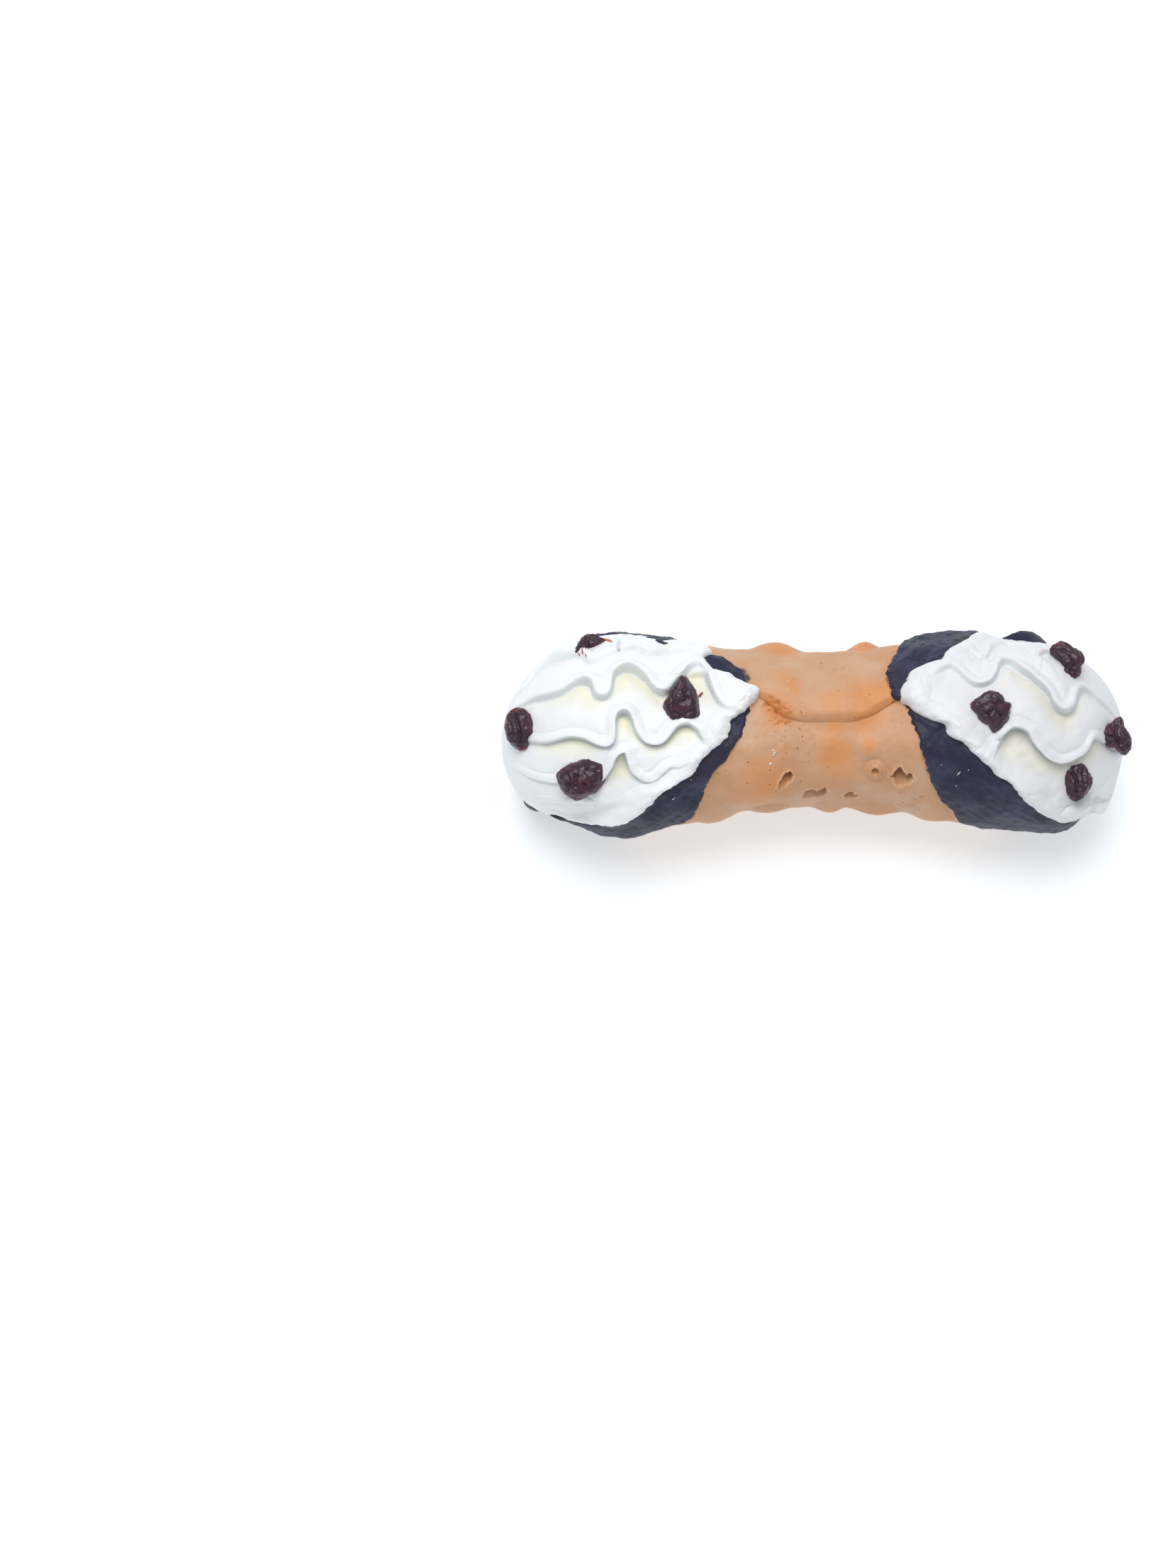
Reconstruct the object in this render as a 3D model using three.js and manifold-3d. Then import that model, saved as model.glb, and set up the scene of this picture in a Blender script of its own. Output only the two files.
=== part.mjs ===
// A cannolo: a fried dough disc wrapped round on itself, both ends dipped in dark chocolate,
// filled with whipped cream that is piped out of each slanted mouth and set with dark cherries.
//
// Millimetres, +Z up. X runs along the tube, and -Y is the front, where the wrapped lip lies.
// Inside this file the tube's axis is at y = z = 0; the last lines lift the whole onto z = 0.
// theta is the angle round the tube in degrees: 0 at the top, 90 at the front, 180 underneath.

import * as THREE from 'three';
import { mergeVertices } from 'three/addons/utils/BufferGeometryUtils.js';
import Module from 'manifold-3d';

const wasm = await Module();
wasm.setup();

// ---- driving dimensions -------------------------------------------------------------------

const WAIST_RADIUS = 16.4; // dough, at the middle of the tube
const FLARE_RADIUS = 21.2; // dough, at the mouths
const FLARE_AT = 50; // distance from the middle where the flare is complete
const FLAT_HEIGHT = 20.5; // the dough is pressed flat this far under the axis
const SHEET = 2.1; // thickness of the fried dough
const COAT = 0.9; // thickness of the chocolate
const GAP = 0.2; // clearance between touching pieces
const FLAP_LIFT = 0.6; // the outer flap rides up on the layer under it
const LAYER_SINK = 0.8; // the layer under the flap is pressed in
const SIDE_SAG = 1.5; // the left mouth hangs this far to the front
const SIMPLIFY = 0.084; // finer facets than this are merged
const TABLE = FLAT_HEIGHT + COAT - 0.05; // height of the axis over the table
const CENTRE_X = -0.1; // middle of the whole length, from the middle of the tube
const CENTRE_Y = -0.7;

// The dough disc is wrapped from the underside both ways. Each half ends at its reach, in degrees
// of wrap. Its left and right edges slant in to its rounded tip, as [wrap, x].
const HALVES = {
  outer: {
    turn: -1,
    reach: 200,
    left: [
      [0, -62], [30, -60], [55, -56], [79, -51], [98, -48], [110, -45.5], [122, -40], [134, -32],
      [144, -26], [160, -23], [170, -18], [176, -13], [184, -10], [194, -7], [198, -3], [200, 3.5],
    ],
    right: [
      [0, 59.5], [30, 58], [55, 54], [79, 50.5], [98, 45.5], [110, 38.5], [122, 34.5], [135, 31.5],
      [150, 29], [161, 22.5], [170, 20], [178, 17], [185, 13.5], [195, 9], [198, 7], [200, 3.5],
    ],
  },
  inner: {
    turn: 1,
    reach: 203,
    left: [
      [0, -62], [30, -61.5], [60, -61], [70, -59.5], [77, -54], [85, -49.5], [97, -45], [105, -42],
      [125, -35], [135, -29.5], [149, -25.5], [164, -21.5], [184, -14], [194, -8], [203, 3.5],
    ],
    right: [
      [0, 59.5], [40, 59], [60, 58.8], [78, 58], [90, 56], [97, 53], [103, 50], [113, 47],
      [125, 42.8], [138, 37], [150, 31.5], [161, 27.5], [173, 21], [185, 15], [195, 10], [203, 3.5],
    ],
  },
};

// Where a mouth's rim curls in: how much along the tube, as [x, depth], and the share of it that
// shows at each angle, as [theta, share].
const TUCKS = [
  {
    along: [[-60, 6], [-55, 4.3], [-50, 2.8], [-41, 0]],
    round: [[40, 0], [75, 0.6], [90, 1], [125, 1], [160, 0]],
  },
  {
    along: [[51, 0], [53, 0.6], [55.5, 2.4], [58, 4.6]],
    round: [[50, 0], [80, 0.8], [95, 1], [120, 1], [155, 0]],
  },
  {
    along: [[32, 0], [38.5, 2.4], [41, 1.8], [45, 0.5], [52, 0.3]],
    round: [[-125, 0], [-100, 0.8], [-85, 1], [-60, 1], [-40, 0]],
  },
];

// Where the chocolate starts at either end, as [theta, x].
const DIPS = {
  left: {
    side: -1,
    line: [
      [-180, -42], [-110, -36], [-68, -30], [-50, -26.5], [-41, -23.8], [-34, -20.5], [-27, -17.2],
      [-18, -15.4], [0, -14.3], [35, -18.5], [80, -25], [104, -34], [140, -40], [180, -42],
    ],
  },
  right: {
    side: 1,
    line: [
      [-180, 45], [-110, 29.5], [-68, 19.5], [-20, 14.5], [0, 16.5], [39, 21.5], [66, 25], [90, 30],
      [104, 33], [140, 40], [180, 45],
    ],
  },
};

// Blisters of the fried dough: place, radius along and round the tube, and height.
const BLISTERS = [
  { x: -13, theta: 58, along: 8.5, round: 8, height: 1.5 },
  { x: 4, theta: 6, along: 9.5, round: 6, height: 1.1 },
  { x: -8, theta: -20, along: 5, round: 5, height: 1.2 },
  { x: -9, theta: -70, along: 6.5, round: 7, height: 2.2 },
  { x: 8.5, theta: -72, along: 5, round: 6, height: 1.8 },
  { x: 24, theta: -75, along: 7, round: 8, height: 1.4 },
  { x: 12.7, theta: 52, along: 3.6, round: 3.6, height: 1 },
  { x: 10.3, theta: 30, along: 4, round: 4, height: 0.9 },
  { x: -21, theta: 96, along: 5, round: 6, height: 1.4 },
  { x: -3, theta: 112, along: 6, round: 6, height: 1.3 },
  { x: 10, theta: 108, along: 6, round: 6, height: 1.2 },
  { x: 24, theta: 100, along: 5, round: 7, height: 1.2 },
  { x: -14, theta: 165, along: 7, round: 7, height: 1.2 },
  { x: 6, theta: -150, along: 8, round: 7, height: 1.5 },
  { x: -16, theta: -120, along: 6, round: 7, height: 1.4 },
  { x: 18, theta: -115, along: 6, round: 6, height: 1.3 },
];

// Blisters that burst: a hollow of half that size, sunk into the dough.
const BURSTS = [
  { x: -7.2, theta: 58, along: 1.2, round: 1.9, tilt: 20 },
  { x: -0.8, theta: 71, along: 2.7, round: 1, tilt: 8 },
  { x: 6.9, theta: 75, along: 1.5, round: 0.7, tilt: 0 },
  { x: 18, theta: 54, along: 2.3, round: 1.9, tilt: 30 },
  { x: 18.6, theta: 82, along: 1.8, round: 0.9, tilt: 0 },
  { x: 9, theta: -128, along: 2.2, round: 1.4, tilt: 30 },
];

// Each end of the piped cream. pole is its outermost point, spineDrop how far that lies under the
// axis, lid the distance of the crests from the axis, and swell what is added to lid, as
// [theta, height]. The star nozzle leaves crests that run along the tube; wave lists where its
// side-to-side swing turns, as [x, swing]. overhang lists how far the cream laps over the rim, as
// [theta, length].
const CREAM_ENDS = {
  left: {
    side: -1,
    pole: 67.1,
    shoulderAt: 40,
    spineDrop: 4.5,
    lid: 20.9,
    swell: [
      [-180, -1], [-100, 0], [-70, 0.3], [-55, 1.2], [-25, 1.2], [10, 0.2], [55, 0], [80, -1.2],
      [90, -2], [130, -2], [150, -1], [180, -1],
    ],
    overhang: [
      [-75, 0], [-62, 4], [-50, 6.5], [-45, 4], [-36, 3], [-12, 2], [10, 0.8], [30, 2.6], [60, 3],
      [80, 1.6], [90, 0],
    ],
    crests: 13,
    firstCrest: -11,
    columns: [0, 0.13, 0.4, 0.72],
    depth: 3,
    wave: [[19, -5], [26.8, 3], [34, -4], [41, 4], [45.2, -4.2], [49.5, 0.5], [57, -1], [64, 0]],
  },
  right: {
    side: 1,
    pole: 66.2,
    shoulderAt: 42,
    spineDrop: 7,
    lid: 21.2,
    swell: [
      [-180, -2], [-60, -2], [-40, -0.8], [-20, 0], [50, 0], [75, -1], [88, -2], [120, -2], [180, -1],
    ],
    overhang: [
      [-60, 0], [-40, 1], [-20, 2], [0, 1.4], [15, 2.6], [30, 2.6], [60, 2.6], [75, 1.6], [84, 0],
    ],
    crests: 9,
    firstCrest: -10,
    columns: [0, 0.1, 0.3, 0.55, 0.8],
    depth: 3.2,
    wave: [[27, 2], [35.5, -1.6], [42, 4.4], [52.8, -3.6], [58.8, 2.4], [66, -2]],
  },
};

// The cherries: place as x and theta on the cream, size along x, round the tube and deep.
const CHERRIES = [
  { end: 'left', x: -47.8, theta: -57, size: [6, 6.4, 5.4] },
  { end: 'left', x: -29, theta: 3, size: [7.7, 10, 6.5] },
  { end: 'left', x: -63, theta: 5, size: [7.8, 9, 6.5] },
  { end: 'left', x: -49.9, theta: 48, size: [10.2, 9, 7] },
  { end: 'right', x: 35, theta: 5.8, size: [9, 9.2, 7] },
  { end: 'right', x: 52, theta: -36, size: [7.8, 9, 6.5] },
  { end: 'right', x: 62.5, theta: 15, size: [8, 7.8, 7] },
  { end: 'right', x: 54.2, theta: 45.5, size: [6.8, 8.2, 6] },
];

// Where the cream meets a rim it stands this proud of the chocolate, as [theta, rise], or less
// where it stays inside. Its crests and grooves reach their full form further in than that lip.
const LIP_RISES = [
  [-100, -3], [-75, -2.4], [-62, -1.6], [-54, 0], [-46, 1.3], [-20, 1.5], [0, 1.9], [55, 1.9],
  [75, 1], [84, -0.4], [92, -1.5], [110, -3],
];
const LIP_WIDTH = 2;
const LIP_REACH = 11;
const LIP_GROOVE = 0.12; // share of a groove's depth left at the lip
const CHERRY_SINK = 1.2; // how far a cherry's middle lies under the crests of the cream

// ---- small helpers ------------------------------------------------------------------------

const radians = THREE.MathUtils.degToRad;
const smooth = (t) => THREE.MathUtils.smoothstep(t, 0, 1);
const ease = (t) => (1 - Math.cos(Math.PI * THREE.MathUtils.clamp(t, 0, 1))) / 2;
const mix = THREE.MathUtils.lerp;

// A bump of height 1 over a round patch, flat at its foot and its top.
const bump = (distance) => (distance < 1 ? (1 - distance * distance) ** 2 : 0);

// The signed difference of two angles, in degrees.
const turnBetween = (a, b) => ((((a - b) % 360) + 540) % 360) - 180;

// The value at a place on a smooth curve through a list of [place, value] in rising order. The
// curve never overshoots the values.
function eased(turns, place) {
  const after = turns.findIndex(([at]) => place < at);
  if (after === 0) return turns[0][1];
  if (after < 0) return turns[turns.length - 1][1];
  const rise = (i) => (turns[i + 1][1] - turns[i][1]) / (turns[i + 1][0] - turns[i][0]);
  const slope = (i) => {
    if (i === 0 || i === turns.length - 1) return 0;
    const [before, next] = [rise(i - 1), rise(i)];
    return before * next > 0 ? (2 * before * next) / (before + next) : 0;
  };
  const [from, start] = turns[after - 1];
  const [to, end] = turns[after];
  const step = to - from;
  const t = (place - from) / step;
  return (
    start * (1 + 2 * t) * (1 - t) ** 2 + slope(after - 1) * step * t * (1 - t) ** 2 +
    end * t * t * (3 - 2 * t) - slope(after) * step * t * t * (1 - t)
  );
}

// Repeatable noise from -1 to 1.
function seeded(seed) {
  let state = seed;
  return () => {
    state = (state * 16807) % 2147483647;
    return (state / 2147483647) * 2 - 1;
  };
}

// A closed manifold from a grid of points that is closed on itself along each row, with a single
// point at either end.
function solidOfRings(rings, startPoint, endPoint) {
  const count = rings[0].length;
  const points = [startPoint, ...rings.flat(), endPoint];
  const faces = [];
  const at = (row, column) => 1 + row * count + (column % count);
  for (let column = 0; column < count; column += 1) {
    faces.push([0, at(0, column), at(0, column + 1)]);
    for (let row = 0; row < rings.length - 1; row += 1) {
      faces.push([at(row, column), at(row + 1, column), at(row + 1, column + 1)]);
      faces.push([at(row, column), at(row + 1, column + 1), at(row, column + 1)]);
    }
    const last = rings.length - 1;
    faces.push([at(last, column + 1), at(last, column), points.length - 1]);
  }
  return solidOf(points, faces);
}

// A closed manifold from points and faces, whichever way round the faces run.
function solidOf(points, faces) {
  const vertProperties = new Float32Array(points.flat());
  let solid = new wasm.Manifold(
    new wasm.Mesh({ numProp: 3, vertProperties, triVerts: new Uint32Array(faces.flat()) })
  );
  if (solid.volume() < 0) {
    const turned = faces.map(([a, b, c]) => [a, c, b]);
    solid = new wasm.Manifold(
      new wasm.Mesh({ numProp: 3, vertProperties, triVerts: new Uint32Array(turned.flat()) })
    );
  }
  return solid;
}

// A closed manifold from a three.js geometry.
function solidOfGeometry(geometry) {
  const bare = geometry.clone();
  bare.deleteAttribute('normal');
  bare.deleteAttribute('uv');
  const merged = mergeVertices(bare, 1e-4);
  return new wasm.Manifold(
    new wasm.Mesh({
      numProp: 3,
      vertProperties: new Float32Array(merged.attributes.position.array),
      triVerts: new Uint32Array(merged.index.array),
    })
  );
}

// The largest body of a solid, without the loose scraps a cut leaves.
function largestBody(solid) {
  const bodies = solid.decompose();
  return bodies.reduce((best, body) => (body.volume() > best.volume() ? body : best));
}

// ---- the form of the tube -----------------------------------------------------------------

// Sideways place of the tube's middle at x.
const tubeMiddle = (x) => (x < 0 ? -SIDE_SAG * smooth(-x / 42) : 0);

// Outer radius of the plain dough at x and theta, with its flat underside.
function doughRadius(x, theta) {
  const turned = turnBetween(theta, 0);
  const flare = ease(Math.abs(x) / FLARE_AT);
  const round = mix(WAIST_RADIUS, FLARE_RADIUS, flare);
  const fromBelow = -Math.cos(radians(theta));
  const tucks = TUCKS.map((tuck) => eased(tuck.along, x) * eased(tuck.round, turned));
  const plain = fromBelow > 0.5 ? Math.min(round, FLAT_HEIGHT / fromBelow) : round;
  return plain - tucks.reduce((all, depth) => all + depth, 0);
}

// Height of the blisters at x and theta.
function blisterHeight(x, theta) {
  let height = 0;
  for (const blister of BLISTERS) {
    const along = (x - blister.x) / blister.along;
    const arc = radians(turnBetween(theta, blister.theta)) * WAIST_RADIUS;
    height = Math.max(height, blister.height * bump(Math.hypot(along, arc / blister.round)));
  }
  return height;
}

// The point at x and theta, radius away from the tube's middle.
function tubePoint(x, theta, radius) {
  const angle = radians(theta);
  return [x, tubeMiddle(x) - radius * Math.sin(angle), radius * Math.cos(angle)];
}

// Where the rim of a mouth lies at theta: on either half, and over the top on the one that
// reaches further.
function rimAt(side, theta) {
  const name = side < 0 ? 'left' : 'right';
  const turned = turnBetween(theta, 0);
  const rims = [];
  if (turned < 20) rims.push(eased(HALVES.outer[name], 180 + turned));
  if (turned > -20) rims.push(eased(HALVES.inner[name], 180 - turned));
  return side * Math.max(...rims.map((x) => side * x));
}

// ---- the dough ----------------------------------------------------------------------------

const WRAP_STEPS = 18;
const LENGTH_STEPS = 20;
const START_WRAP = -4; // the halves overlap a little under the tube
const CORE_RADIUS = 3; // inner face of a half before it is hollowed out

// One half of the wrapped disc as a thick sheet, grown by offset on every side.
function wrappedHalf(half, offset) {
  const outer = [];
  const inner = [];
  const reach = half.reach + THREE.MathUtils.radToDeg(offset / WAIST_RADIUS);
  for (let i = 0; i <= WRAP_STEPS; i += 1) {
    const share = Math.sin((Math.PI / 2) * (i / WRAP_STEPS) * 0.955);
    const wrap = START_WRAP + (reach - START_WRAP) * share;
    const theta = half.turn * (180 - wrap);
    const low = eased(half.left, wrap) - offset;
    const high = eased(half.right, wrap) + offset;
    const over = half.turn < 0
      ? FLAP_LIFT * smooth((wrap - 140) / 50)
      : -LAYER_SINK * smooth((wrap - 145) / 20);
    for (let j = 0; j <= LENGTH_STEPS; j += 1) {
      const x = mix(low, high, j / LENGTH_STEPS);
      const radius = doughRadius(x, theta) + blisterHeight(x, theta) + over + offset;
      outer.push(tubePoint(x, theta, radius));
      inner.push(tubePoint(x, theta, CORE_RADIUS));
    }
  }
  return solidOf([...outer, ...inner], sheetFaces(WRAP_STEPS, LENGTH_STEPS));
}

// Faces of a thick sheet: an outer grid, an inner grid after it, and the four edges.
function sheetFaces(rows, columns) {
  const at = (i, j) => i * (columns + 1) + j;
  const layer = (rows + 1) * (columns + 1);
  const faces = [];
  const quad = (a, b, c, d) => faces.push([a, b, c], [a, c, d]);
  for (let i = 0; i < rows; i += 1) {
    for (let j = 0; j < columns; j += 1) {
      quad(at(i, j), at(i, j + 1), at(i + 1, j + 1), at(i + 1, j));
      quad(layer + at(i, j), layer + at(i + 1, j), layer + at(i + 1, j + 1), layer + at(i, j + 1));
    }
    quad(at(i, 0), at(i + 1, 0), layer + at(i + 1, 0), layer + at(i, 0));
    quad(at(i + 1, columns), at(i, columns), layer + at(i, columns), layer + at(i + 1, columns));
  }
  for (let j = 0; j < columns; j += 1) {
    quad(at(0, j + 1), at(0, j), layer + at(0, j), layer + at(0, j + 1));
    quad(at(rows, j), at(rows, j + 1), layer + at(rows, j + 1), layer + at(rows, j));
  }
  return faces;
}

// A plain log along the tube between two ends, its surface inset from the dough's outer face.
function tubeLog(inset, from, to) {
  const sides = 16;
  const steps = 10;
  const rings = [];
  for (let i = 0; i <= steps; i += 1) {
    const x = mix(from, to, i / steps);
    const ring = [];
    for (let j = 0; j < sides; j += 1) {
      const theta = (360 * j) / sides;
      ring.push(tubePoint(x, theta, doughRadius(x, theta) - inset));
    }
    rings.push(ring);
  }
  return solidOfRings(rings, [from, tubeMiddle(from), 0], [to, tubeMiddle(to), 0]);
}

// The wrapped tube of dough, grown by offset on every side.
function wrappedTube(offset) {
  const halves = wrappedHalf(HALVES.outer, offset).add(wrappedHalf(HALVES.inner, offset));
  return halves.subtract(tubeLog(SHEET + offset, -70, 70));
}

// The hollows of the burst blisters.
function burstHollows() {
  const hollows = BURSTS.map((burst) => {
    const geometry = new THREE.IcosahedronGeometry(1, 1);
    geometry.scale(burst.along, burst.round, 1.3);
    geometry.rotateZ(radians(burst.tilt));
    geometry.rotateX(radians(burst.theta));
    const radius = doughRadius(burst.x, burst.theta) + blisterHeight(burst.x, burst.theta);
    geometry.translate(...tubePoint(burst.x, burst.theta, radius));
    return solidOfGeometry(geometry);
  });
  return hollows.reduce((all, hollow) => all.add(hollow));
}

// ---- the chocolate ------------------------------------------------------------------------

// Everything beyond the dip line of one end, with the line moved outwards by shift.
function dipRegion(dip, shift) {
  const sides = 32;
  const outside = 32;
  const inside = 6;
  const far = dip.side * 90;
  const line = (theta) => eased(dip.line, turnBetween(theta, 0)) + dip.side * shift;
  const ringAt = (radius, place) =>
    Array.from({ length: sides }, (_, j) => {
      const theta = (360 * j) / sides;
      return tubePoint(place(theta), theta, radius);
    });
  const rings = [ringAt(inside, line), ringAt(outside, line), ringAt(outside, () => far)];
  return solidOfRings(rings, [line(90), 0, 0], [far, 0, 0]);
}

// The chocolate of one end, with clear added to its thickness and to its dip line.
function chocolateCoat(dip, clear) {
  const grown = wrappedTube(COAT + clear).intersect(dipRegion(dip, -clear));
  return clear > 0 ? grown : grown.subtract(wrappedTube(GAP));
}

// ---- the cream ----------------------------------------------------------------------------

// Height of the cream's middle line and distance of the crests from it, at x and theta.
function creamSection(end, x, theta) {
  const past = (Math.abs(x) - end.shoulderAt) / (end.pole - end.shoulderAt);
  const share = THREE.MathUtils.clamp(past, 0, 1);
  const outside = smooth((Math.abs(x) - 30) / 12) * (1 - share ** 2);
  const swell = eased(end.swell, turnBetween(theta, 0)) * outside;
  return {
    middle: -end.spineDrop * smooth(share),
    radius: end.lid * Math.sqrt(1 - share ** 2.6) + swell,
    share,
  };
}

// A point on the cream's outside at x, where theta is turned by the swing of the nozzle. deep is
// the depth of the groove there, and inFrom how far x is from where the cream starts at its rim.
function creamPoint(end, x, theta, deep, inFrom) {
  const section = creamSection(end, x, theta);
  const settled = smooth((inFrom - LIP_WIDTH) / LIP_REACH);
  const rise = lipRise(theta);
  const crest = mix(doughRadius(x, theta) + COAT + rise, section.radius, settled);
  const lipped = mix(section.radius, crest, lapShare(rise));
  const groove = deep * mix(LIP_GROOVE, 1, settled) * (1 - section.share ** 3);
  const swing = THREE.MathUtils.radToDeg(eased(end.wave, Math.abs(x)) / end.lid) * settled;
  const angle = radians(theta - swing);
  const radius = lipped - groove;
  return [
    x,
    tubeMiddle(x) - radius * Math.sin(angle),
    section.middle + radius * Math.cos(angle),
  ];
}

// Depth of the groove at a share of the way from one crest to the next one below it.
const grooveShare = (t) => (t < 0.13 ? ease(t / 0.13) : (1 - (t - 0.13) / 0.87) ** 1.3);

// How proud of the chocolate the cream stands at theta, and whether it laps over it there.
const lipRise = (theta) => eased(LIP_RISES, turnBetween(theta, 0));
const lapShare = (rise) => smooth((rise + 0.6) / 0.6);

// One piped end, with a stem that reaches into the tube.
function creamEnd(end) {
  const rows = 22;
  const shoulder = 4.5;
  const stemX = end.side * 3;
  const pitch = 360 / end.crests;
  const columns = [];
  for (let crest = 0; crest < end.crests; crest += 1) {
    const crestAngle = turnBetween(end.firstCrest + crest * pitch, 0);
    const seen = crestAngle > -80 && crestAngle < 130;
    const shares = seen ? end.columns : [0, 0.45];
    for (const share of shares) {
      const groove = end.depth * grooveShare(share) * (seen ? 1 : 0.7);
      columns.push({ theta: crestAngle + share * pitch, groove });
    }
  }
  const rings = Array.from({ length: rows + 2 }, () => []);
  for (const { theta, groove } of columns) {
    const rim = rimAt(end.side, theta);
    const over = lapShare(lipRise(theta));
    const lap = eased(end.overhang, turnBetween(theta, 0));
    const start = rim - end.side * (lap - 0.3);
    const wall = doughRadius(rim, theta);
    const startRadius = mix(wall - SHEET, wall + COAT + GAP / 2, over);
    const stem = rim - end.side * (Math.max(lap, 0) + 1.5);
    rings[0].push(tubePoint(stemX, theta, doughRadius(stemX, theta) - SHEET / 2));
    rings[1].push(tubePoint(stem, theta, doughRadius(stem, theta) - SHEET / 2));
    for (let row = 0; row < rows; row += 1) {
      const x = mix(start, end.side * end.pole, ease(row / rows));
      const from = Math.abs(x - start);
      const risen = Math.sqrt(1 - (1 - Math.min(from / shoulder, 1)) ** 2);
      const low = tubePoint(x, theta, startRadius);
      const full = creamPoint(end, x, theta, groove, from);
      rings[row + 2].push(low.map((value, axis) => mix(value, full[axis], risen)));
    }
  }
  const pole = [end.side * end.pole, tubeMiddle(end.side * end.pole), -end.spineDrop];
  return solidOfRings(rings, [stemX, tubeMiddle(stemX), 0], pole);
}

// ---- the cherries -------------------------------------------------------------------------

// A wrinkled cherry, grown by offset on every side.
function cherrySolid(cherry, index, offset) {
  const random = seeded(101 + index);
  const geometry = new THREE.IcosahedronGeometry(1, 2);
  geometry.deleteAttribute('normal');
  geometry.deleteAttribute('uv');
  const merged = mergeVertices(geometry, 1e-4);
  const place = merged.attributes.position;
  const phase = [random() * 3, random() * 3, random() * 3];
  for (let i = 0; i < place.count; i += 1) {
    const point = new THREE.Vector3().fromBufferAttribute(place, i);
    const fold = Math.sin(4 * point.x + phase[0]) * Math.sin(4 * point.y + phase[1]);
    const dent = Math.sin(5 * point.z + phase[2]) * 0.5;
    point.multiplyScalar(1 + 0.1 * (fold + dent));
    place.setXYZ(i, point.x, point.y, point.z);
  }
  merged.scale(...cherry.size.map((size) => size / 2 + offset));
  merged.rotateZ(radians(30 * random()));
  const end = CREAM_ENDS[cherry.end];
  const outward = end.side * 55 * smooth((Math.abs(cherry.x) - 45) / 22);
  merged.rotateY(radians(outward));
  merged.rotateX(radians(cherry.theta));
  merged.translate(...creamPoint(end, cherry.x, cherry.theta, CHERRY_SINK, LIP_WIDTH + LIP_REACH));
  return solidOfGeometry(merged);
}

// ---- the pieces ---------------------------------------------------------------------------

const MATERIALS = {
  dough: new THREE.MeshStandardMaterial({ color: 0xd29a68, roughness: 0.75, metalness: 0 }),
  chocolate: new THREE.MeshStandardMaterial({ color: 0x3a3845, roughness: 0.5, metalness: 0 }),
  cream: new THREE.MeshStandardMaterial({ color: 0xf4f5f2, roughness: 0.5, metalness: 0 }),
  cherry: new THREE.MeshStandardMaterial({ color: 0x3d1420, roughness: 0.25, metalness: 0 }),
};

// Nothing reaches under the table, and the chocolate stands on it with a true flat.
const aboveTable = solidOfGeometry(new THREE.BoxGeometry(200, 80, 80))
  .translate([0, 0, 40 - TABLE]);

const cannolo = new THREE.Group();

function addPiece(name, solid, material) {
  const body = largestBody(solid.intersect(aboveTable).simplify(SIMPLIFY));
  const mesh = body.getMesh();
  const geometry = new THREE.BufferGeometry();
  geometry.setAttribute('position', new THREE.BufferAttribute(mesh.vertProperties, 3));
  geometry.setIndex(new THREE.BufferAttribute(mesh.triVerts, 1));
  geometry.translate(-CENTRE_X, -CENTRE_Y, TABLE);
  geometry.computeVertexNormals();
  const piece = new THREE.Mesh(geometry, material);
  piece.name = name;
  cannolo.add(piece);
}

const cherries = CHERRIES.map((cherry, index) => cherrySolid(cherry, index, 0));
const cherryRoom = CHERRIES.map((cherry, index) => cherrySolid(cherry, index, GAP));

addPiece('shell', wrappedTube(0).subtract(burstHollows()), MATERIALS.dough);
for (const [name, dip] of Object.entries(DIPS)) {
  addPiece(`chocolate_${name}`, chocolateCoat(dip, 0), MATERIALS.chocolate);
}

const walls = [wrappedTube(GAP), ...Object.values(DIPS).map((dip) => chocolateCoat(dip, GAP))];
const piped = [tubeLog(SHEET / 2, -8, 8), ...Object.values(CREAM_ENDS).map(creamEnd)];
const cream = piped
  .reduce((all, solid) => all.add(solid))
  .subtract([...walls, ...cherryRoom].reduce((all, solid) => all.add(solid)));
addPiece('cream', cream, MATERIALS.cream);
cherries.forEach((solid, index) => addPiece(`cherry_${index + 1}`, solid, MATERIALS.cherry));

export default cannolo;
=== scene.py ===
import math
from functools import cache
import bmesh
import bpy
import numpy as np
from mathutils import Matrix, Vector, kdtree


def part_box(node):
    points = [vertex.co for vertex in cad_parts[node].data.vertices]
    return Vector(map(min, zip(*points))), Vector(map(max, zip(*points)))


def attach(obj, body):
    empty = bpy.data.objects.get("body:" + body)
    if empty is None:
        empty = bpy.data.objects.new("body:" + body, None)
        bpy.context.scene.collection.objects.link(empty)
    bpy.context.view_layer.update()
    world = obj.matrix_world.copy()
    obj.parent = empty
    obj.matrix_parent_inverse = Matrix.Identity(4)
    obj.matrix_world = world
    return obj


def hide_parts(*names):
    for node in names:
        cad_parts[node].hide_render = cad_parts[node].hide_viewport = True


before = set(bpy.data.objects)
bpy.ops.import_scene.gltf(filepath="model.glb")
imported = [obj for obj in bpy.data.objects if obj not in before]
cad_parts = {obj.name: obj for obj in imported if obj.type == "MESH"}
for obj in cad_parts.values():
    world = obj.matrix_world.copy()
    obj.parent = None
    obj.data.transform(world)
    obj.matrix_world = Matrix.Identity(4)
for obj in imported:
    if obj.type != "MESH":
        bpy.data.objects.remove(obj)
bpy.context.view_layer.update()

# A cannolo seen from above its front: a wrapped tube of fried dough, its mouths dipped in dark
# chocolate, piped full of whipped cream and set with dark cherries.
#
# Forms are worked out in millimetres on the tube's own axis, with x along the tube and theta the
# angle round it in degrees: 0 at the top, 90 at the front (-Y), 180 underneath. placed() takes
# them to metres in the frame.

# ---- driving dimensions, in millimetres ----

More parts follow.
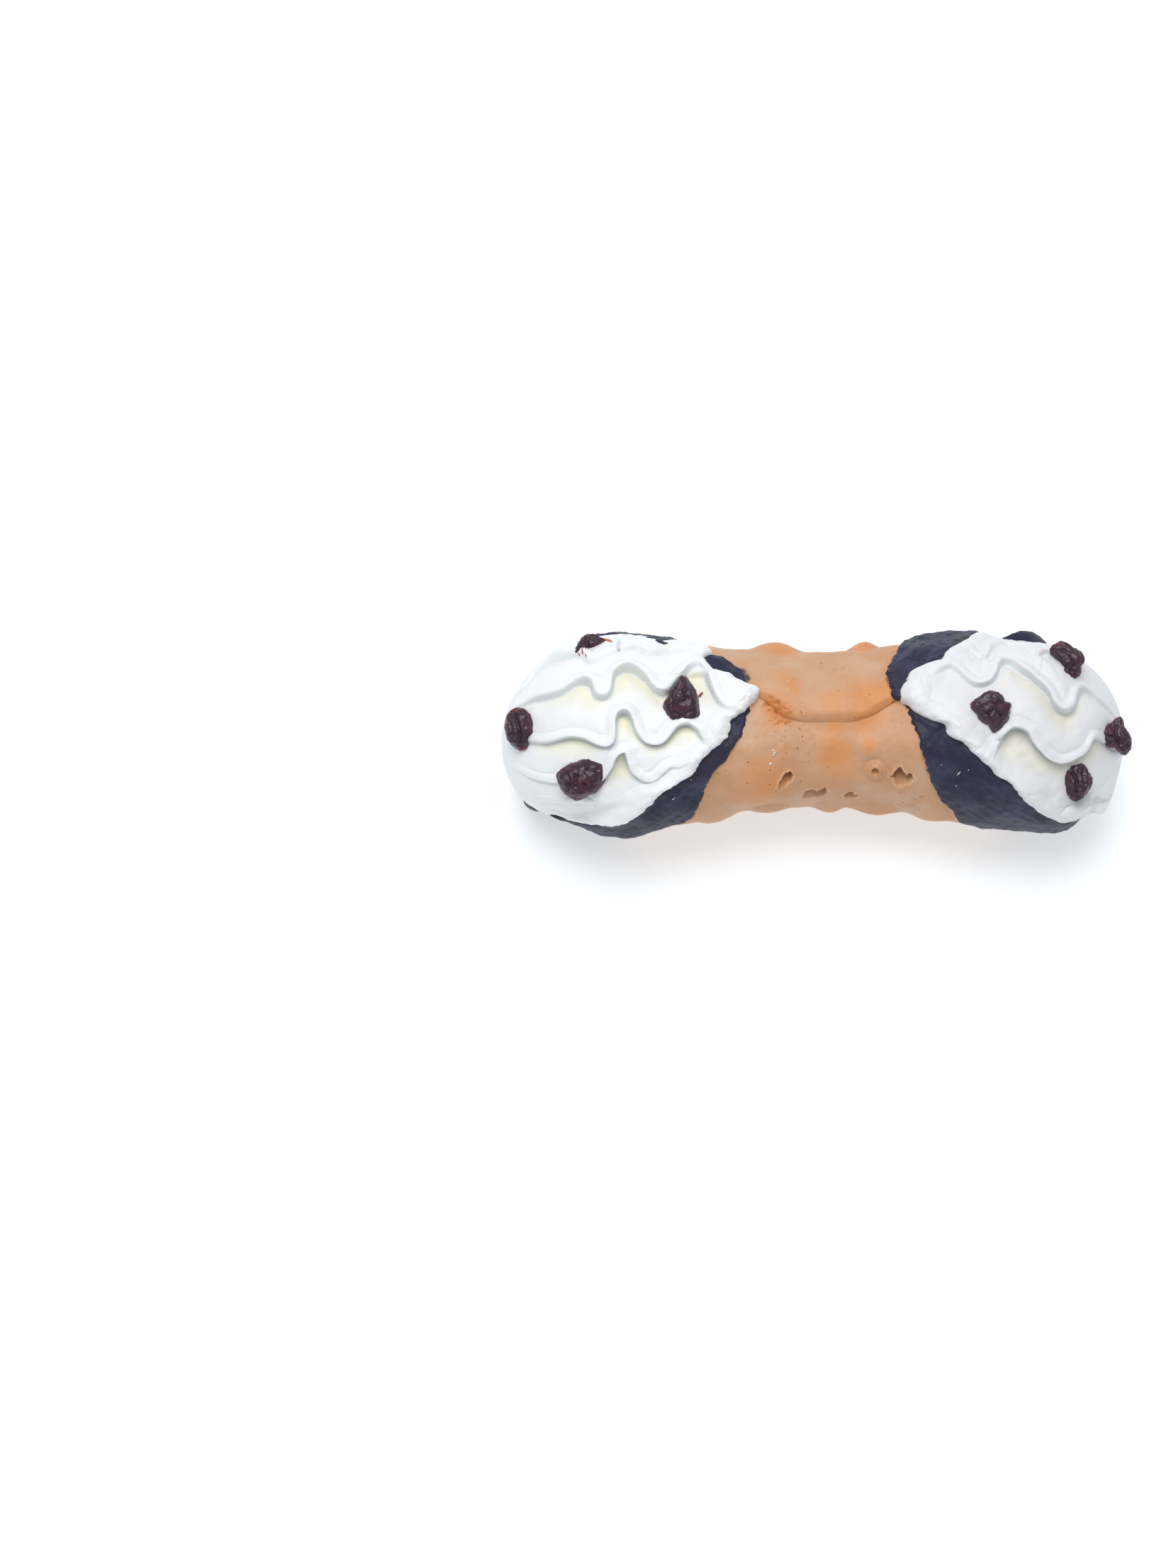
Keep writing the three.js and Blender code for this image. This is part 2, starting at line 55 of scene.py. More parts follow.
WAIST_RADIUS = 16.4  # dough, at the middle of the tube
FLARE_RADIUS = 21.2  # dough, at the mouths
FLARE_AT = 50.0  # distance from the middle where the flare is complete
FLAT_HEIGHT = 20.5  # the dough is pressed flat this far under the axis
SHEET = 2.1  # thickness of the fried dough
COAT = 0.9  # thickness of the chocolate
FLAP_LIFT = 0.6  # the outer flap rides up on the layer under it
LAYER_SINK = 0.8  # the layer under the flap is pressed in
FLAP_RISES = (140, 50)  # where these two and the flap's thin edge set in: wrap and reach
LAYER_SINKS = (145, 20)
FLAP_THINS = (150, 30)
EDGE_FALL = 0.7  # how far the flap's side edges come down, and from how far inside
EDGE_WIDTH = 3.0
TIP_FALL = 1.95  # how far its tip comes down, and from how many degrees before it
TIP_REACH = 11.0
SHORTEST_COAT = 1.5  # no chocolate where less of it would show along the tube
CORE_GAP = 1.5  # the cream inside the tube stands this far off the dough
SIDE_SAG = 1.5  # the left mouth hangs this far to the front
SAG_REACH = 42.0  # distance from the middle where that is complete
MM = 0.001
MM_PER_DEGREE = 0.36  # round the cream
TUBE_PLACE = np.array([0.1, 0.7, FLAT_HEIGHT + COAT - 0.05])  # its middle in the frame

# Where the rows and columns of the meshes lie.
WRAP_START = -4.0
HALF_ROWS = 260
FACE_COLUMNS = 400
BACK_COLUMNS = 60
COAT_COLUMNS = 130
LID_ROWS = 400
RIM_ARC = np.radians(np.linspace(90, -90, 15))[1:-1]  # from the outer face to the inner one

# The camera's view of the tube, for what is set out as it is seen.
VIEW_TILT = 70.0  # elevation, in degrees
VIEW_DISTANCE = 789.0
ACROSS = np.array([1.0, 0.0, 0.0])
UP = np.array([0.0, math.sin(math.radians(VIEW_TILT)), math.cos(math.radians(VIEW_TILT))])
BACK = np.cross(ACROSS, UP)
PHOTO_SIZE = (1659, 2212)
TUBE_PIXEL = (1151.0, 1028.0)  # where the middle of the tube lies in the picture
MM_PER_PIXEL = 0.151
AXIS = np.array([
    (PHOTO_SIZE[0] / 2 - TUBE_PIXEL[0]) * MM_PER_PIXEL,
    (TUBE_PIXEL[1] - PHOTO_SIZE[1] / 2) * MM_PER_PIXEL,
])  # where the camera's axis meets the tube's plane

# ---- tables of the dough and the chocolate ----

# The two halves of the wrapped disc: which way they turn, how far they reach in degrees of wrap,
# and their left and right edges as (wrap, x).
HALVES = {
    "outer": {
        "turn": -1, "reach": 200,
        "left": [(0, -62), (30, -60), (55, -56), (79, -51), (98, -48), (110, -45.5), (122, -40),
                 (134, -32), (144, -26), (160, -23), (170, -18), (176, -13), (184, -10), (194, -7),
                 (198, -3), (200, 3.5)],
        "right": [(0, 59.5), (30, 58), (55, 54), (79, 50.5), (98, 45.5), (110, 38.5), (122, 34.5),
                  (135, 31.5), (150, 29), (161, 22.5), (170, 20), (178, 17), (185, 13.5), (195, 9),
                  (198, 7), (200, 3.5)],
    },
    "inner": {
        "turn": 1, "reach": 203,
        "left": [(0, -62), (30, -61.5), (60, -61), (70, -59.5), (77, -54), (85, -49.5), (97, -45),
                 (105, -42), (125, -35), (135, -29.5), (149, -25.5), (164, -21.5), (184, -14),
                 (194, -8), (203, 3.5)],
        "right": [(0, 59.5), (40, 59), (60, 58.8), (78, 58), (90, 56), (97, 53), (103, 50),
                  (113, 47), (125, 42.8), (138, 37), (150, 31.5), (161, 27.5), (173, 21), (185, 15),
                  (195, 10), (203, 3.5)],
    },
}

# Where a mouth's rim curls in: how much along the tube, as (x, depth), and the share of it at
# each angle, as (theta, share).
TUCKS = [
    ([(-62, 8.5), (-60, 6.6), (-55, 4.3), (-50, 2.8), (-41, 0)],
     [(40, 0), (75, 0.6), (90, 1), (125, 1), (160, 0)]),
    ([(51, 0), (53, 0.6), (55.5, 2.4), (58, 4.6)],
     [(50, 0), (80, 0.8), (95, 1), (120, 1), (155, 0)]),
    ([(32, 0), (38.5, 2.4), (41, 1.8), (45, 0.5), (52, 0.3)],
     [(-125, 0), (-100, 0.8), (-85, 1), (-60, 1), (-40, 0)]),
]

# Blisters: x, theta, radius along the tube, radius round it, height, sharpness of the foot.
BLISTERS = [
    (-13, 60, 9.5, 9.5, 1.5, 0.7), (4.5, 3, 10, 6, 1.0, 0.2), (-8, -20, 5, 5, 1.2, 0.1),
    (-8.5, -72, 6.5, 7, 2.0, 0.1), (10, -80, 3.6, 6, 2.0, 0.7), (24, -75, 7, 8, 1.2, 0.0),
    (9.6, 34, 3.4, 3.4, 0.9, 0.2), (3, 62, 9, 5, 0.8, 0.3), (-21, 96, 5, 6, 1.2, 0.3),
    (-10, 102, 4.5, 5, 1.1, 0.6), (2.6, 104, 3.6, 5, 1.4, 0.7), (12, 104, 6, 5, 1.4, 0.6),
    (19, 86, 3.2, 2.6, 0.7, 0.6), (24, 100, 5, 7, 1.2, 0.3),
    (-14, 165, 7, 7, 1.2, 0.2), (6, -150, 8, 7, 1.5, 0.3), (-16, -120, 6, 7, 1.4, 0.3),
    (18, -115, 6, 6, 1.3, 0.2), (12, 140, 6, 6, 1.2, 0.4), (-2, -108, 4, 4, 0.9, 0.5),
]

# A blister that sank in the middle: x, theta, radius of its ring, height.
VOLCANO = (11.5, 51.8, 2.3, 1.0)

# Burst blisters: x, theta, depth and outline along and down the tube from there.
BURSTS = [
    (-7.1, 59, 1.3, [(-1.3, 1.9), (-0.9, -0.4), (0.9, -1.8), (1.2, -1.1), (0.2, 0.8)]),
    (-0.8, 74.5, 1.5, [(-2.6, 1.6), (-2, -0.2), (-1.1, -1.2), (0.3, -0.8), (2, -1.8),
                       (2.6, -0.5), (2.2, 0.9), (-0.3, 1.4)]),
    (6.8, 78.5, 1.2, [(-1.3, 0.7), (-0.7, -0.8), (0, -1.3), (0.55, -0.4), (1.5, 0), (0.4, 0.7)]),
    (16.9, 56.8, 1.6, [(-2.4, -0.2), (-1.5, -0.6), (-1.4, -1.4), (-0.9, -1.9), (-0.35, -2.8),
                       (0.4, -1.8), (0.9, -0.8), (2.2, -1.2), (2.5, 0.2), (1.7, 1.1), (0.9, 1.2),
                       (0.5, 2.1), (-0.8, 1.6), (-1.4, 0.6), (-1.6, 0.1)]),
    (18.7, 86, 0.35, [(-2.2, 0), (-0.8, -1.1), (0.6, -1.2), (2.4, 0.4), (0.6, 0.8), (-0.8, 0.6)]),
    (9, -128, 1.3, [(-2.2, 0.6), (-0.6, -1.4), (1.2, -0.6), (2.2, 0.8), (0.4, 1.2)]),
    (-19, -102, 0.9, [(-1.6, 0), (0, -0.8), (1.6, 0.2), (0, 0.8)]),
]

BURST_REACH = 5.0  # no burst reaches further than this
BURST_WALL = 0.35  # width of its wall
CURL_HEIGHT = 0.26  # of the torn skin round it
CURL_WIDTH = 0.3
CRACK = (-8.8, 7, 42, 3.3, 1.5)  # x, theta, tilt, length and width of a browned patch
PITS = (0.7, 14)  # size and seed of its pits
PIT_DEPTH = 0.3

# Spots of deeper orange and of fine dark flecks on the dough: x, theta, radius.
WARM_SPOTS = [(9.5, 4, 6.5), (2, 12, 5), (14, -6, 3.5), (3.6, 42, 4.6), (10, 32, 2.2),
              (-6.5, -11, 2.4), (-9.5, 9, 3.6), (-7.5, -62, 4), (9.5, -66, 2.5), (-13, 66, 4.5)]
FLECK_SPOTS = [(-6, 22, 4.5), (18.2, 14, 3), (-5, 38, 3), (20, 78, 3), (-9.5, 14, 2.5)]

# Where the chocolate of each mouth starts on each half, as (theta, x).
DIP_LINES = {
    ("left", "inner"): [(-20, -14.2), (0, -14.6), (20, -16.2), (34, -19), (55, -23.3), (80, -25.4),
                        (93, -29.5), (102, -34), (140, -40), (184, -42)],
    ("left", "outer"): [(-184, -42), (-110, -36), (-68, -30), (-50, -26.5), (-41, -23.8),
                        (-34, -20.5), (-27, -17.2), (-18, -15.4), (25, -12)],
    ("right", "inner"): [(-20, 15.6), (4, 17.4), (10, 18.4), (18, 19.4), (39, 21.2), (66, 24.6),
                         (90, 29.4), (104, 33.2), (140, 41), (184, 45)],
    ("right", "outer"): [(-184, 45), (-110, 29.5), (-68, 19.3), (-34, 15.8), (-19, 14.1),
                         (-2, 14.8), (25, 17.2)],
}

FEATHER = 0.8  # width over which the chocolate thins out at its line

# ---- tables of the cream ----

# The crests of each end from the top down, each as a line of (x, theta), with the depth of the
# hollow under it as (x, depth).
LEFT_CRESTS = [
    ([(-66, -50), (-62.5, -42.7), (-61.3, -44.5), (-60, -48.5), (-57.3, -50.5), (-55, -49.8),
      (-53, -47.2), (-50.9, -42.6), (-49.2, -35.9), (-48.1, -30), (-47.1, -30), (-45.4, -33.2),
      (-43.2, -35.5), (-41.2, -37.5), (-38.7, -41), (-37.4, -40.6), (-36.4, -37), (-35.3, -36),
      (-33.4, -38.5), (-31.1, -42.5), (-28.8, -41), (-25, -36), (-20, -30), (-8, -24)],
     [(-66, 1.6), (-57, 2.2), (-49, 1.6), (-44, 1.0), (-36, 1.6), (-24, 0.8)]),
    ([(-66.8, -22), (-64.6, -20), (-62.2, -16), (-59.7, -13.6), (-57.2, -11.1), (-54.5, -10.3),
      (-52.6, -12.5), (-51.1, -14.9), (-49.6, -15.5), (-48.3, -14.3), (-47.4, -11.1), (-47, -6.7),
      (-46.5, -3.5), (-45.5, -1.9), (-44.6, -3.1), (-44.1, -6.9), (-43.9, -11.9), (-43.5, -16.4),
      (-42.3, -19.8), (-40.6, -21.8), (-38.9, -21.4), (-37.3, -18.3), (-35.9, -13.4), (-34.8, -8.2),
      (-33.7, -5.3), (-32.2, -4.9), (-31.1, -8.5), (-30, -13.2), (-28.9, -18.3), (-27.8, -21.4),
      (-26.3, -22.9), (-24.8, -21.2), (-23.7, -16.7), (-23.1, -10.9), (-22.5, -4.9), (-21.6, 0.6),
      (-20.3, 4.8), (-18.9, 7.1), (-14, 9), (-8, 10)],
     [(-66, 1.4), (-58, 2.4), (-52, 3.0), (-44, 3.6), (-40, 3.8), (-30, 3.4), (-24, 3.0),
      (-18, 1.2)]),
    ([(-66.8, 16), (-64.8, 21), (-63.1, 22), (-61.4, 21.4), (-59.4, 22.4), (-57.2, 23.2),
      (-54.9, 22.1), (-53, 21), (-51.1, 21.4), (-49.2, 22.9), (-47.5, 25.5), (-45.8, 27.6),
      (-44.4, 27.5), (-43.5, 24.5), (-43.3, 17.7), (-43.3, 12.6), (-42.7, 8.8), (-41.6, 6.9),
      (-40.3, 7.2), (-39.4, 10), (-38.7, 14.7), (-38.2, 19.3), (-37.3, 23.4), (-36.2, 26.3),
      (-34.7, 27.4), (-33.3, 26.7), (-32.2, 23.6), (-31.1, 19.6), (-30.1, 16.9), (-28.7, 15.6),
      (-27.4, 15.9), (-26.2, 18.4), (-25.3, 21.8), (-24.4, 26.1), (-23.5, 29.3), (-21, 33),
      (-12, 36)],
     [(-66, 1.2), (-58, 3.0), (-50, 3.2), (-44, 3.4), (-41, 4.4), (-35, 3.4), (-28, 3.8),
      (-24, 2.0)]),
    ([(-66.8, 50), (-65.1, 52), (-63.2, 50.5), (-60.3, 51.7), (-57.2, 51.5), (-54.5, 50.5),
      (-50.7, 50.1), (-46.6, 50.3), (-45.1, 47), (-43.9, 41.7), (-43.3, 36.8), (-42.5, 33.2),
      (-41.3, 31.7), (-40.5, 32.8), (-40, 37.1), (-39.5, 42), (-38.8, 46), (-37.5, 48.7),
      (-36, 49.4), (-34.5, 47.5), (-33, 43.7), (-31.7, 40.5), (-29.8, 39.6), (-28.3, 37.1),
      (-26, 36), (-20, 38), (-12, 40)],
     [(-66, 0.8), (-60, 1.6), (-50, 1.5), (-45, 2.4), (-41, 4.2), (-37, 2.0), (-31, 1.4),
      (-24, 0.4)]),
    ([(-66.8, 82), (-62.3, 80), (-59.9, 76), (-57.2, 68.5), (-54.5, 66.5), (-52.6, 65.4),
      (-46.9, 63), (-44, 65.2), (-42.1, 64), (-38.9, 57.5), (-37.8, 54.5), (-35.6, 52.8),
      (-33.5, 50.6), (-26, 46), (-18, 44)],
     [(-66, 0.5), (-55, 0.6), (-44, 0.3), (-30, 0.2)]),
]
RIGHT_CRESTS = [
    ([(14, -20), (24, -22), (26.5, -24), (29.3, -29.2), (31.2, -30), (32.6, -26), (33.6, -23),
      (34.5, -26), (35.4, -33), (36.6, -40), (39.3, -47), (41.8, -45), (43.4, -39), (44.4, -30),
      (45.2, -28), (46.2, -32), (47.6, -38), (50, -40), (54, -44), (60, -42), (65.9, -38)],
     [(20, 0.2), (29, 0.8), (33, 1.6), (37, 0.8), (44, 1.2), (50, 0.8), (60, 0.6)]),
    ([(14, -8), (22, -12), (24.6, -16.2), (26.4, -18.9), (27.9, -17.5), (29.3, -13.7), (30.7, -8.9),
      (32, -6.2), (33.3, -5.5), (34.6, -6.5), (35.8, -10), (36.6, -15), (37.1, -19.6), (38, -22.5),
      (39.3, -23), (40.9, -19.6), (42.7, -15), (44, -12.6), (45.7, -8), (47.1, -4.1), (48, -0.3),
      (48.6, 3.6), (49.6, 7.3), (50.8, 8.7), (52, 7.2), (53, 3.2), (53.5, -2.3), (54.2, -7.2),
      (55.6, -11.5), (57.4, -11.4), (58.7, -9.9), (61.5, -8), (65.9, -4)],
     [(22, 0.4), (28, 1.4), (33, 1.8), (37, 2.2), (43, 2.8), (48, 4.0), (51, 4.4), (55, 2.6),
      (63, 1.4)]),
    ([(20, 46), (29, 45), (33.2, 42.5), (34.4, 39.3), (35.2, 36.9), (36.1, 33.1), (36.9, 28.9),
      (37.8, 25), (38.8, 22.3), (40.1, 20.9), (41.7, 21.7), (43.3, 24.5), (44.2, 29.4),
      (45.3, 33.2), (46.7, 37), (48.4, 40.1), (50.3, 41.3), (52.2, 40), (53.9, 37.4), (55.4, 34.5),
      (56.5, 30.6), (57.2, 26.1), (58.2, 22.8), (59.8, 24.3), (61.8, 29.2), (64, 37.4), (65.9, 52)],
     [(30, 0.8), (36, 2.0), (39, 4.0), (43, 4.2), (48, 3.6), (54, 3.2), (58, 3.4), (61, 3.0),
      (65, 1.6)]),
    ([(22, 58), (34, 57), (39.9, 58), (42.2, 59.5), (43.3, 60.1), (45, 61.8), (47.5, 67),
      (48.7, 71.5), (50.5, 74), (53.4, 75), (55.7, 73), (57.4, 70), (59, 68), (61, 72), (62.6, 80),
      (65.9, 96)],
     [(34, 0.3), (48, 0.7), (57, 1.0), (62, 0.8)]),
]

# Each end of the cream. The lid swells past its radius by (theta, mm). Its edge starts at
# (theta, x) and rises over the chocolate by (theta, height). Lumps are x, theta, radius along,
# radius round and height, tails x, theta and push along x, and creases are cuts along (x, theta).
CREAM_ENDS = {
    "left": {
        "side": -1, "pole": 67.1, "shoulder": 40.0, "drop": 4.5, "lid": 20.9,
        "crests": LEFT_CRESTS,
        "rises": [(-100, -3), (-75, -2.4), (-62, -1.6), (-54, 0), (-46, 1.3), (-20, 1.5), (0, 1.8),
                  (55, 1.9), (72, 1.4), (82, 0.8), (88, -0.2), (95, -1.6), (110, -3)],
        "swell": [(-180, -1), (-100, 0), (-70, 0.3), (-55, 1.2), (-25, 1.2), (10, 0.2), (55, 0),
                  (80, -1.2), (90, -2), (130, -2), (150, -1), (180, -1)],
        "edge": [(-180, -63), (-125, -58.5), (-100, -54), (-82, -50), (-70, -45.5), (-62, -37),
                 (-56, -31.5), (-50, -27), (-45, -25.2), (-40, -22.8), (-36.5, -23), (-33, -24.2),
                 (-26, -23.2), (-20, -22.3), (-17, -19.2), (-12.5, -16.7), (-6.5, -12.7),
                 (5.8, -15.7), (16.7, -19.2), (23.3, -19.5), (31.4, -23.2), (44.8, -27),
                 (54.8, -32.7), (64.2, -35.7), (71, -37.8), (75, -39.5), (79, -42.5), (82, -46.5),
                 (85, -50.5), (92, -54), (100, -57), (112, -60), (125, -61), (160, -62),
                 (180, -63)],
        "lumps": [(-18.6, -10, 3, 3, 0.5), (-16.5, 3, 3.5, 3, 0.5), (-24, -34, 4, 3, 0.6),
                  (-21.5, 18, 3, 3, 0.5), (-25, 36, 4, 3, 0.4), (-34.5, 49.5, 2.2, 1.6, 0.35),
                  (-36.8, 50.5, 1.6, 1.4, 0.3), (-54.5, -62, 3.5, 4, 0.8)],
        "tails": [(-64.5, -18, -0.6)],
        "creases": [[(-16, -12.5), (-17.5, -13.5), (-19.5, -13)],
                    [(-15.3, -2), (-15.8, 1.5), (-17.6, 5)],
                    [(-50.2, 57), (-48.4, 59.6), (-46.6, 62)],
                    [(-46.9, 63), (-47.2, 66), (-46.6, 70)], [(-34.6, -4), (-33, 2), (-31.8, 5.5)]],
    },
    "right": {
        "side": 1, "pole": 66.2, "shoulder": 42.0, "drop": 7.0, "lid": 21.2,
        "crests": RIGHT_CRESTS,
        "rises": [(-100, -3), (-75, -2.4), (-62, -1.6), (-54, 0), (-46, 1.3), (-20, 1.5), (0, 1.8),
                  (55, 1.9), (72, 1.4), (78, 0.9), (82, -0.8), (90, -2.4), (110, -3)],
        "swell": [(-180, -2), (-60, -2), (-40, -0.8), (-20, 0), (50, 0), (70, 0.6), (81, 0.4),
                  (90, -3.2), (97, -4), (125, -3.5), (180, -1)],
        "edge": [(-180, 60.3), (-150, 58.8), (-125, 54.6), (-101, 51), (-82, 45), (-70, 39),
                 (-58, 35), (-45, 31.5), (-37, 29), (-31, 26.6), (-24.4, 25), (-21.5, 22.5),
                 (-18.9, 19.5), (-12.4, 17.9), (-5.9, 16.7), (-1.1, 16.8), (7.4, 18.4),
                 (14.4, 22.1), (19, 25.2), (25, 26.9), (29, 29.1), (36, 32.1), (42, 34.4),
                 (48, 37.1), (55, 40.3), (62, 41.9), (67, 44.4), (73, 46.5), (76, 49.5), (77.5, 52),
                 (78.6, 55), (81, 57.4), (88, 58.4), (125, 58.6), (150, 59), (180, 60.3)],
        "lumps": [(19.6, -4, 3.4, 4.6, 0.9), (27.6, 12, 5, 4.5, 0.8), (30.6, 24, 3.5, 3, 0.5),
                  (33, 32, 2.4, 2.6, 0.5), (35.4, 39, 2.2, 2.4, 0.5), (22.5, -13, 3.5, 3, 0.5),
                  (62.5, 76, 4, 4.5, 3.2), (35.6, -33, 1.6, 2, 0.5)],
        "tails": [(64, 33, 2.4)],
        "creases": [[(22.9, -19), (21.6, -14), (21, -8), (21.4, -2)],
                    [(22.2, 3.5), (23.6, 6.4), (25.6, 7.4)], [(31.4, 33), (33, 30), (34.4, 25)],
                    [(33.8, 39), (34.6, 36), (35.4, 32)], [(42.8, 56.5), (44.4, 57.6), (46, 58.4)],
                    [(46, -10), (46.4, -20), (46.8, -27)]],
    },
}
FAR_CRESTS = [108, 136, 164, 190, 216, 240, 264]  # theta of the crests round the back
FAR_DEPTHS = [(0, 1.8), (1, 1.8)]
FAR_AWAY = 99.0  # stands for the distance of a crest that lies elsewhere
LIP_WIDTH = 1.4  # from the edge of the cream, where its lip begins to pass into the lid
LIP_REACH = 6.0  # and how far that takes
LIP_GROOVE = 0.3  # share of the piped form that shows on the lip
LIP_COVER = 0.6  # the last rise up to 0, in which the edge passes over the chocolate
LID_SHOULDER = 2.4  # the lid rises from its edge over this distance
LID_TORN = 5.0  # and is ragged over this one
SWELL_SPAN = (30, 12)  # where along the tube the swell sets in: start and reach
CAP_POWER = 2.6  # how square the cap is
HOLLOW_START = 0.35  # the hollow begins this far under the crest over it
HOLLOW_REACH = 1.15  # and is full after this much more
BEAD_WIDTH = 1.0  # the rounded crest itself
BEAD_HEIGHT = 0.75
FOOT_OVER = 4.5  # how far its foot reaches up into the hollow over it
FOOT_UNDER = 2.5  # and down into the hollow under it
GROOVE_DEPTH = 0.35  # of the fine line over a crest
GROOVE_PLACE = 1.15
GROOVE_WIDTH = 0.2
# The dark band under a crest is painted shade.
SHADE_PLACE = 1.3  # of the dark band under a crest
SHADE_WIDTH = 0.8
FULL_CREST = 2.2  # depth of a hollow from which its crest is full
CREST_TURN = 2.2  # how far the root of a leaning crest lies over its line, in degrees
CREST_SHIFT = 0.8  # and how far square to it, in mm
CREST_LEAN = 0.95  # how far it leans over the hollow
LEAN_WIDTH = 1.1
TAIL_WIDTH = 1.8
FORM_ROUNDS = {"hollow": 6, "crest": 3}  # how often the piped form is softened
CREASE_WIDTH = 0.36
CREASE_DEPTH = 0.22

# ---- tables of the cherries, the juice and the crumbs ----

# Each cherry: how far it stands out from its solid's middle, its outline across and up the
# slanted view, in mm, and its folds as lines in the same plane.
CHERRIES = {
    1: (3.0, [(-51.3, 16.2), (-50.8, 18), (-49.6, 19.4), (-47.9, 20.2), (-46.2, 19.6),
        (-44.9, 18.9), (-46.6, 17.3), (-48, 16.7), (-49.6, 16.2)],
        [[(-49.6, 18.8), (-48.4, 17.2)]]),
    2: (0.3, [(-28.7, 11.5), (-26.6, 9.3), (-25.3, 7), (-24.6, 4.3), (-25.3, 2), (-27.4, 1.2),
        (-29.8, 1.1), (-31.9, 2.5), (-32.6, 4.7), (-31.6, 7), (-29.9, 9.5)],
        [[(-29.2, 10), (-30.6, 7.4), (-31, 4.8)], [(-28.4, 8), (-27.4, 6.2), (-28.8, 5.6)],
         [(-30.6, 3.2), (-28.4, 2.6), (-26.4, 3.6)]]),
    3: (1.6, [(-63.7, 4.4), (-65.3, 3.5), (-66.2, 1), (-66.2, -1), (-65, -3.2), (-63, -4.6),
        (-61.7, -4.4), (-61, -2.4), (-59.5, -0.8), (-59.6, 1.2), (-60.6, 2.8), (-62, 4)],
        [[(-64, 4), (-63.6, 1.4), (-62.9, -1.6), (-62.6, -4)], [(-65.4, 1.6), (-64.6, -1.6)]]),
    4: (0.4, [(-55, -9.9), (-53.9, -8.4), (-51.6, -7.2), (-49.6, -6.4), (-47.2, -6.8),
        (-45.2, -7.6), (-44.9, -9.6), (-45.8, -12.2), (-48.4, -14.2), (-51.2, -15.3),
        (-53.2, -14.2), (-54.5, -12.2)],
        [[(-53.4, -9), (-52.7, -11.4), (-53.1, -13.4)], [(-51.4, -10), (-51.2, -12.4)],
         [(-49.6, -11.6), (-48.2, -12.8), (-47.4, -11)], [(-48.6, -8.4), (-46.6, -8.8)]]),
    5: (0.3, [(32.8, 5), (34.8, 6.9), (37.7, 8.2), (39.6, 7.4), (40.3, 5.9), (41.6, 5.4),
        (41.5, 3.6), (40.2, 1), (37.9, -1), (36.5, 0.7), (34.2, 3)],
        [[(34.4, 5.2), (36.6, 6.4), (38.8, 5.6)], [(36, 3), (38, 3.8), (39.6, 2.6)]]),
    6: (1.2, [(50, 17.1), (52.2, 18.6), (54.9, 17.4), (57.4, 14.8), (56.6, 13.4), (56.4, 12),
        (54.8, 10.4), (52.8, 9.7), (50.9, 10.1), (52.4, 12.4), (51.8, 14.4), (50.2, 15.6)],
        [[(52, 17), (54, 15.6), (54.8, 13.4), (53.8, 11.4)]]),
    7: (1.8, [(64.8, 2.3), (62.8, 1), (60.7, -0.4), (59, -1.6), (61.3, -3.1), (63.6, -4.2),
        (66, -5.7), (67.1, -3.1), (66.9, -1.4), (65.7, 0.4)],
        [[(64, 0.8), (63.6, -1.4), (64.6, -3.6)], [(61, -1.6), (62.6, -1.8)]]),
    8: (0.2, [(56.8, -7.4), (58, -8.9), (58.9, -10.7), (58, -13.2), (55, -15.6), (53.9, -14.6),
        (53.1, -12.6), (52.5, -10.5), (52.8, -8.9), (54.6, -7.6)],
        [[(54.2, -9), (55.2, -11.4), (55, -14)], [(56.6, -9), (57, -11.8)]]),
}
CHERRY_DEPTH = 0.8  # depth towards the camera, as a share of the mean width
CHERRY_DENTS = (0.06, 0.9)  # height and size of soft dents, then of sharp wrinkles
CHERRY_WRINKLES = [(0.1, 0.5), (0.08, 0.24)]
CHERRY_SEED = 200
FOLD_DEPTH = 0.5
FOLD_WIDTH = 0.42

# Thin streaks on the cream: from and to across and up the view, width, height and fluid.
STREAKS = {
    "cherry_juice_1": ((-50.6, 17.4), (-50.4, 15.5), 0.5, 0.35, "cherry_juice"),
    "cherry_juice_2": ((-49.8, 17.2), (-49.7, 15.9), 0.4, 0.35, "cherry_juice"),
    "cherry_juice_3": ((-49.1, 17.2), (-49, 15.3), 0.4, 0.35, "cherry_juice"),
    "cherry_syrup": ((-46, 19.2), (-43.4, 18.6), 0.8, 0.35, "cherry_syrup"),
    "cherry_scrap": ((-25, 6.8), (-24.1, 7.8), 0.6, 0.6, "cherry_juice"),
    "cream_drop": ((-42, 19.1), (-42.1, 16.8), 1.7, 0.8, "cream_drop"),
}
# Each fluid's slot, colour, roughness and coat.
FLUIDS = {
    "cherry_juice": ("cherry", (150, 44, 30), 0.3, 0.0),
    "cherry_syrup": ("cherry", (196, 120, 90), 0.35, 0.0),
    "cream_drop": ("whipped_cream", (206, 216, 230), 0.2, 0.4),
}
STREAK_LIFT = 0.4  # a streak's middle lies over the cream by this share of its width

# Crumbs: place across and up the view, and size.
CRUMBS = [(30.4, -9.5, 0.35), (30.7, -9.2, 0.22), (30.1, -9.9, 0.2), (32.5, -8.8, 0.18),
          (29.9, -12.2, 0.2), (26.7, -7.7, 0.2), (-30.4, -15, 0.3), (-30.1, -14.7, 0.2),
          (-26.6, -10.9, 0.2), (-9.1, -4.6, 0.35), (-8.8, -5.1, 0.4), (-9.0, -5.6, 0.3),
          (-9.7, -7.5, 0.45), (-6.1, 10.1, 0.22), (-6, 8.2, 0.22)]
CRUMB_LIFT = 0.15  # and a crumb's over the surface by this share of its size
CRUMB_LUMPS = (0.2, 0.9)  # height and size of its lumps, against its own
CRUMB_SEED = 400

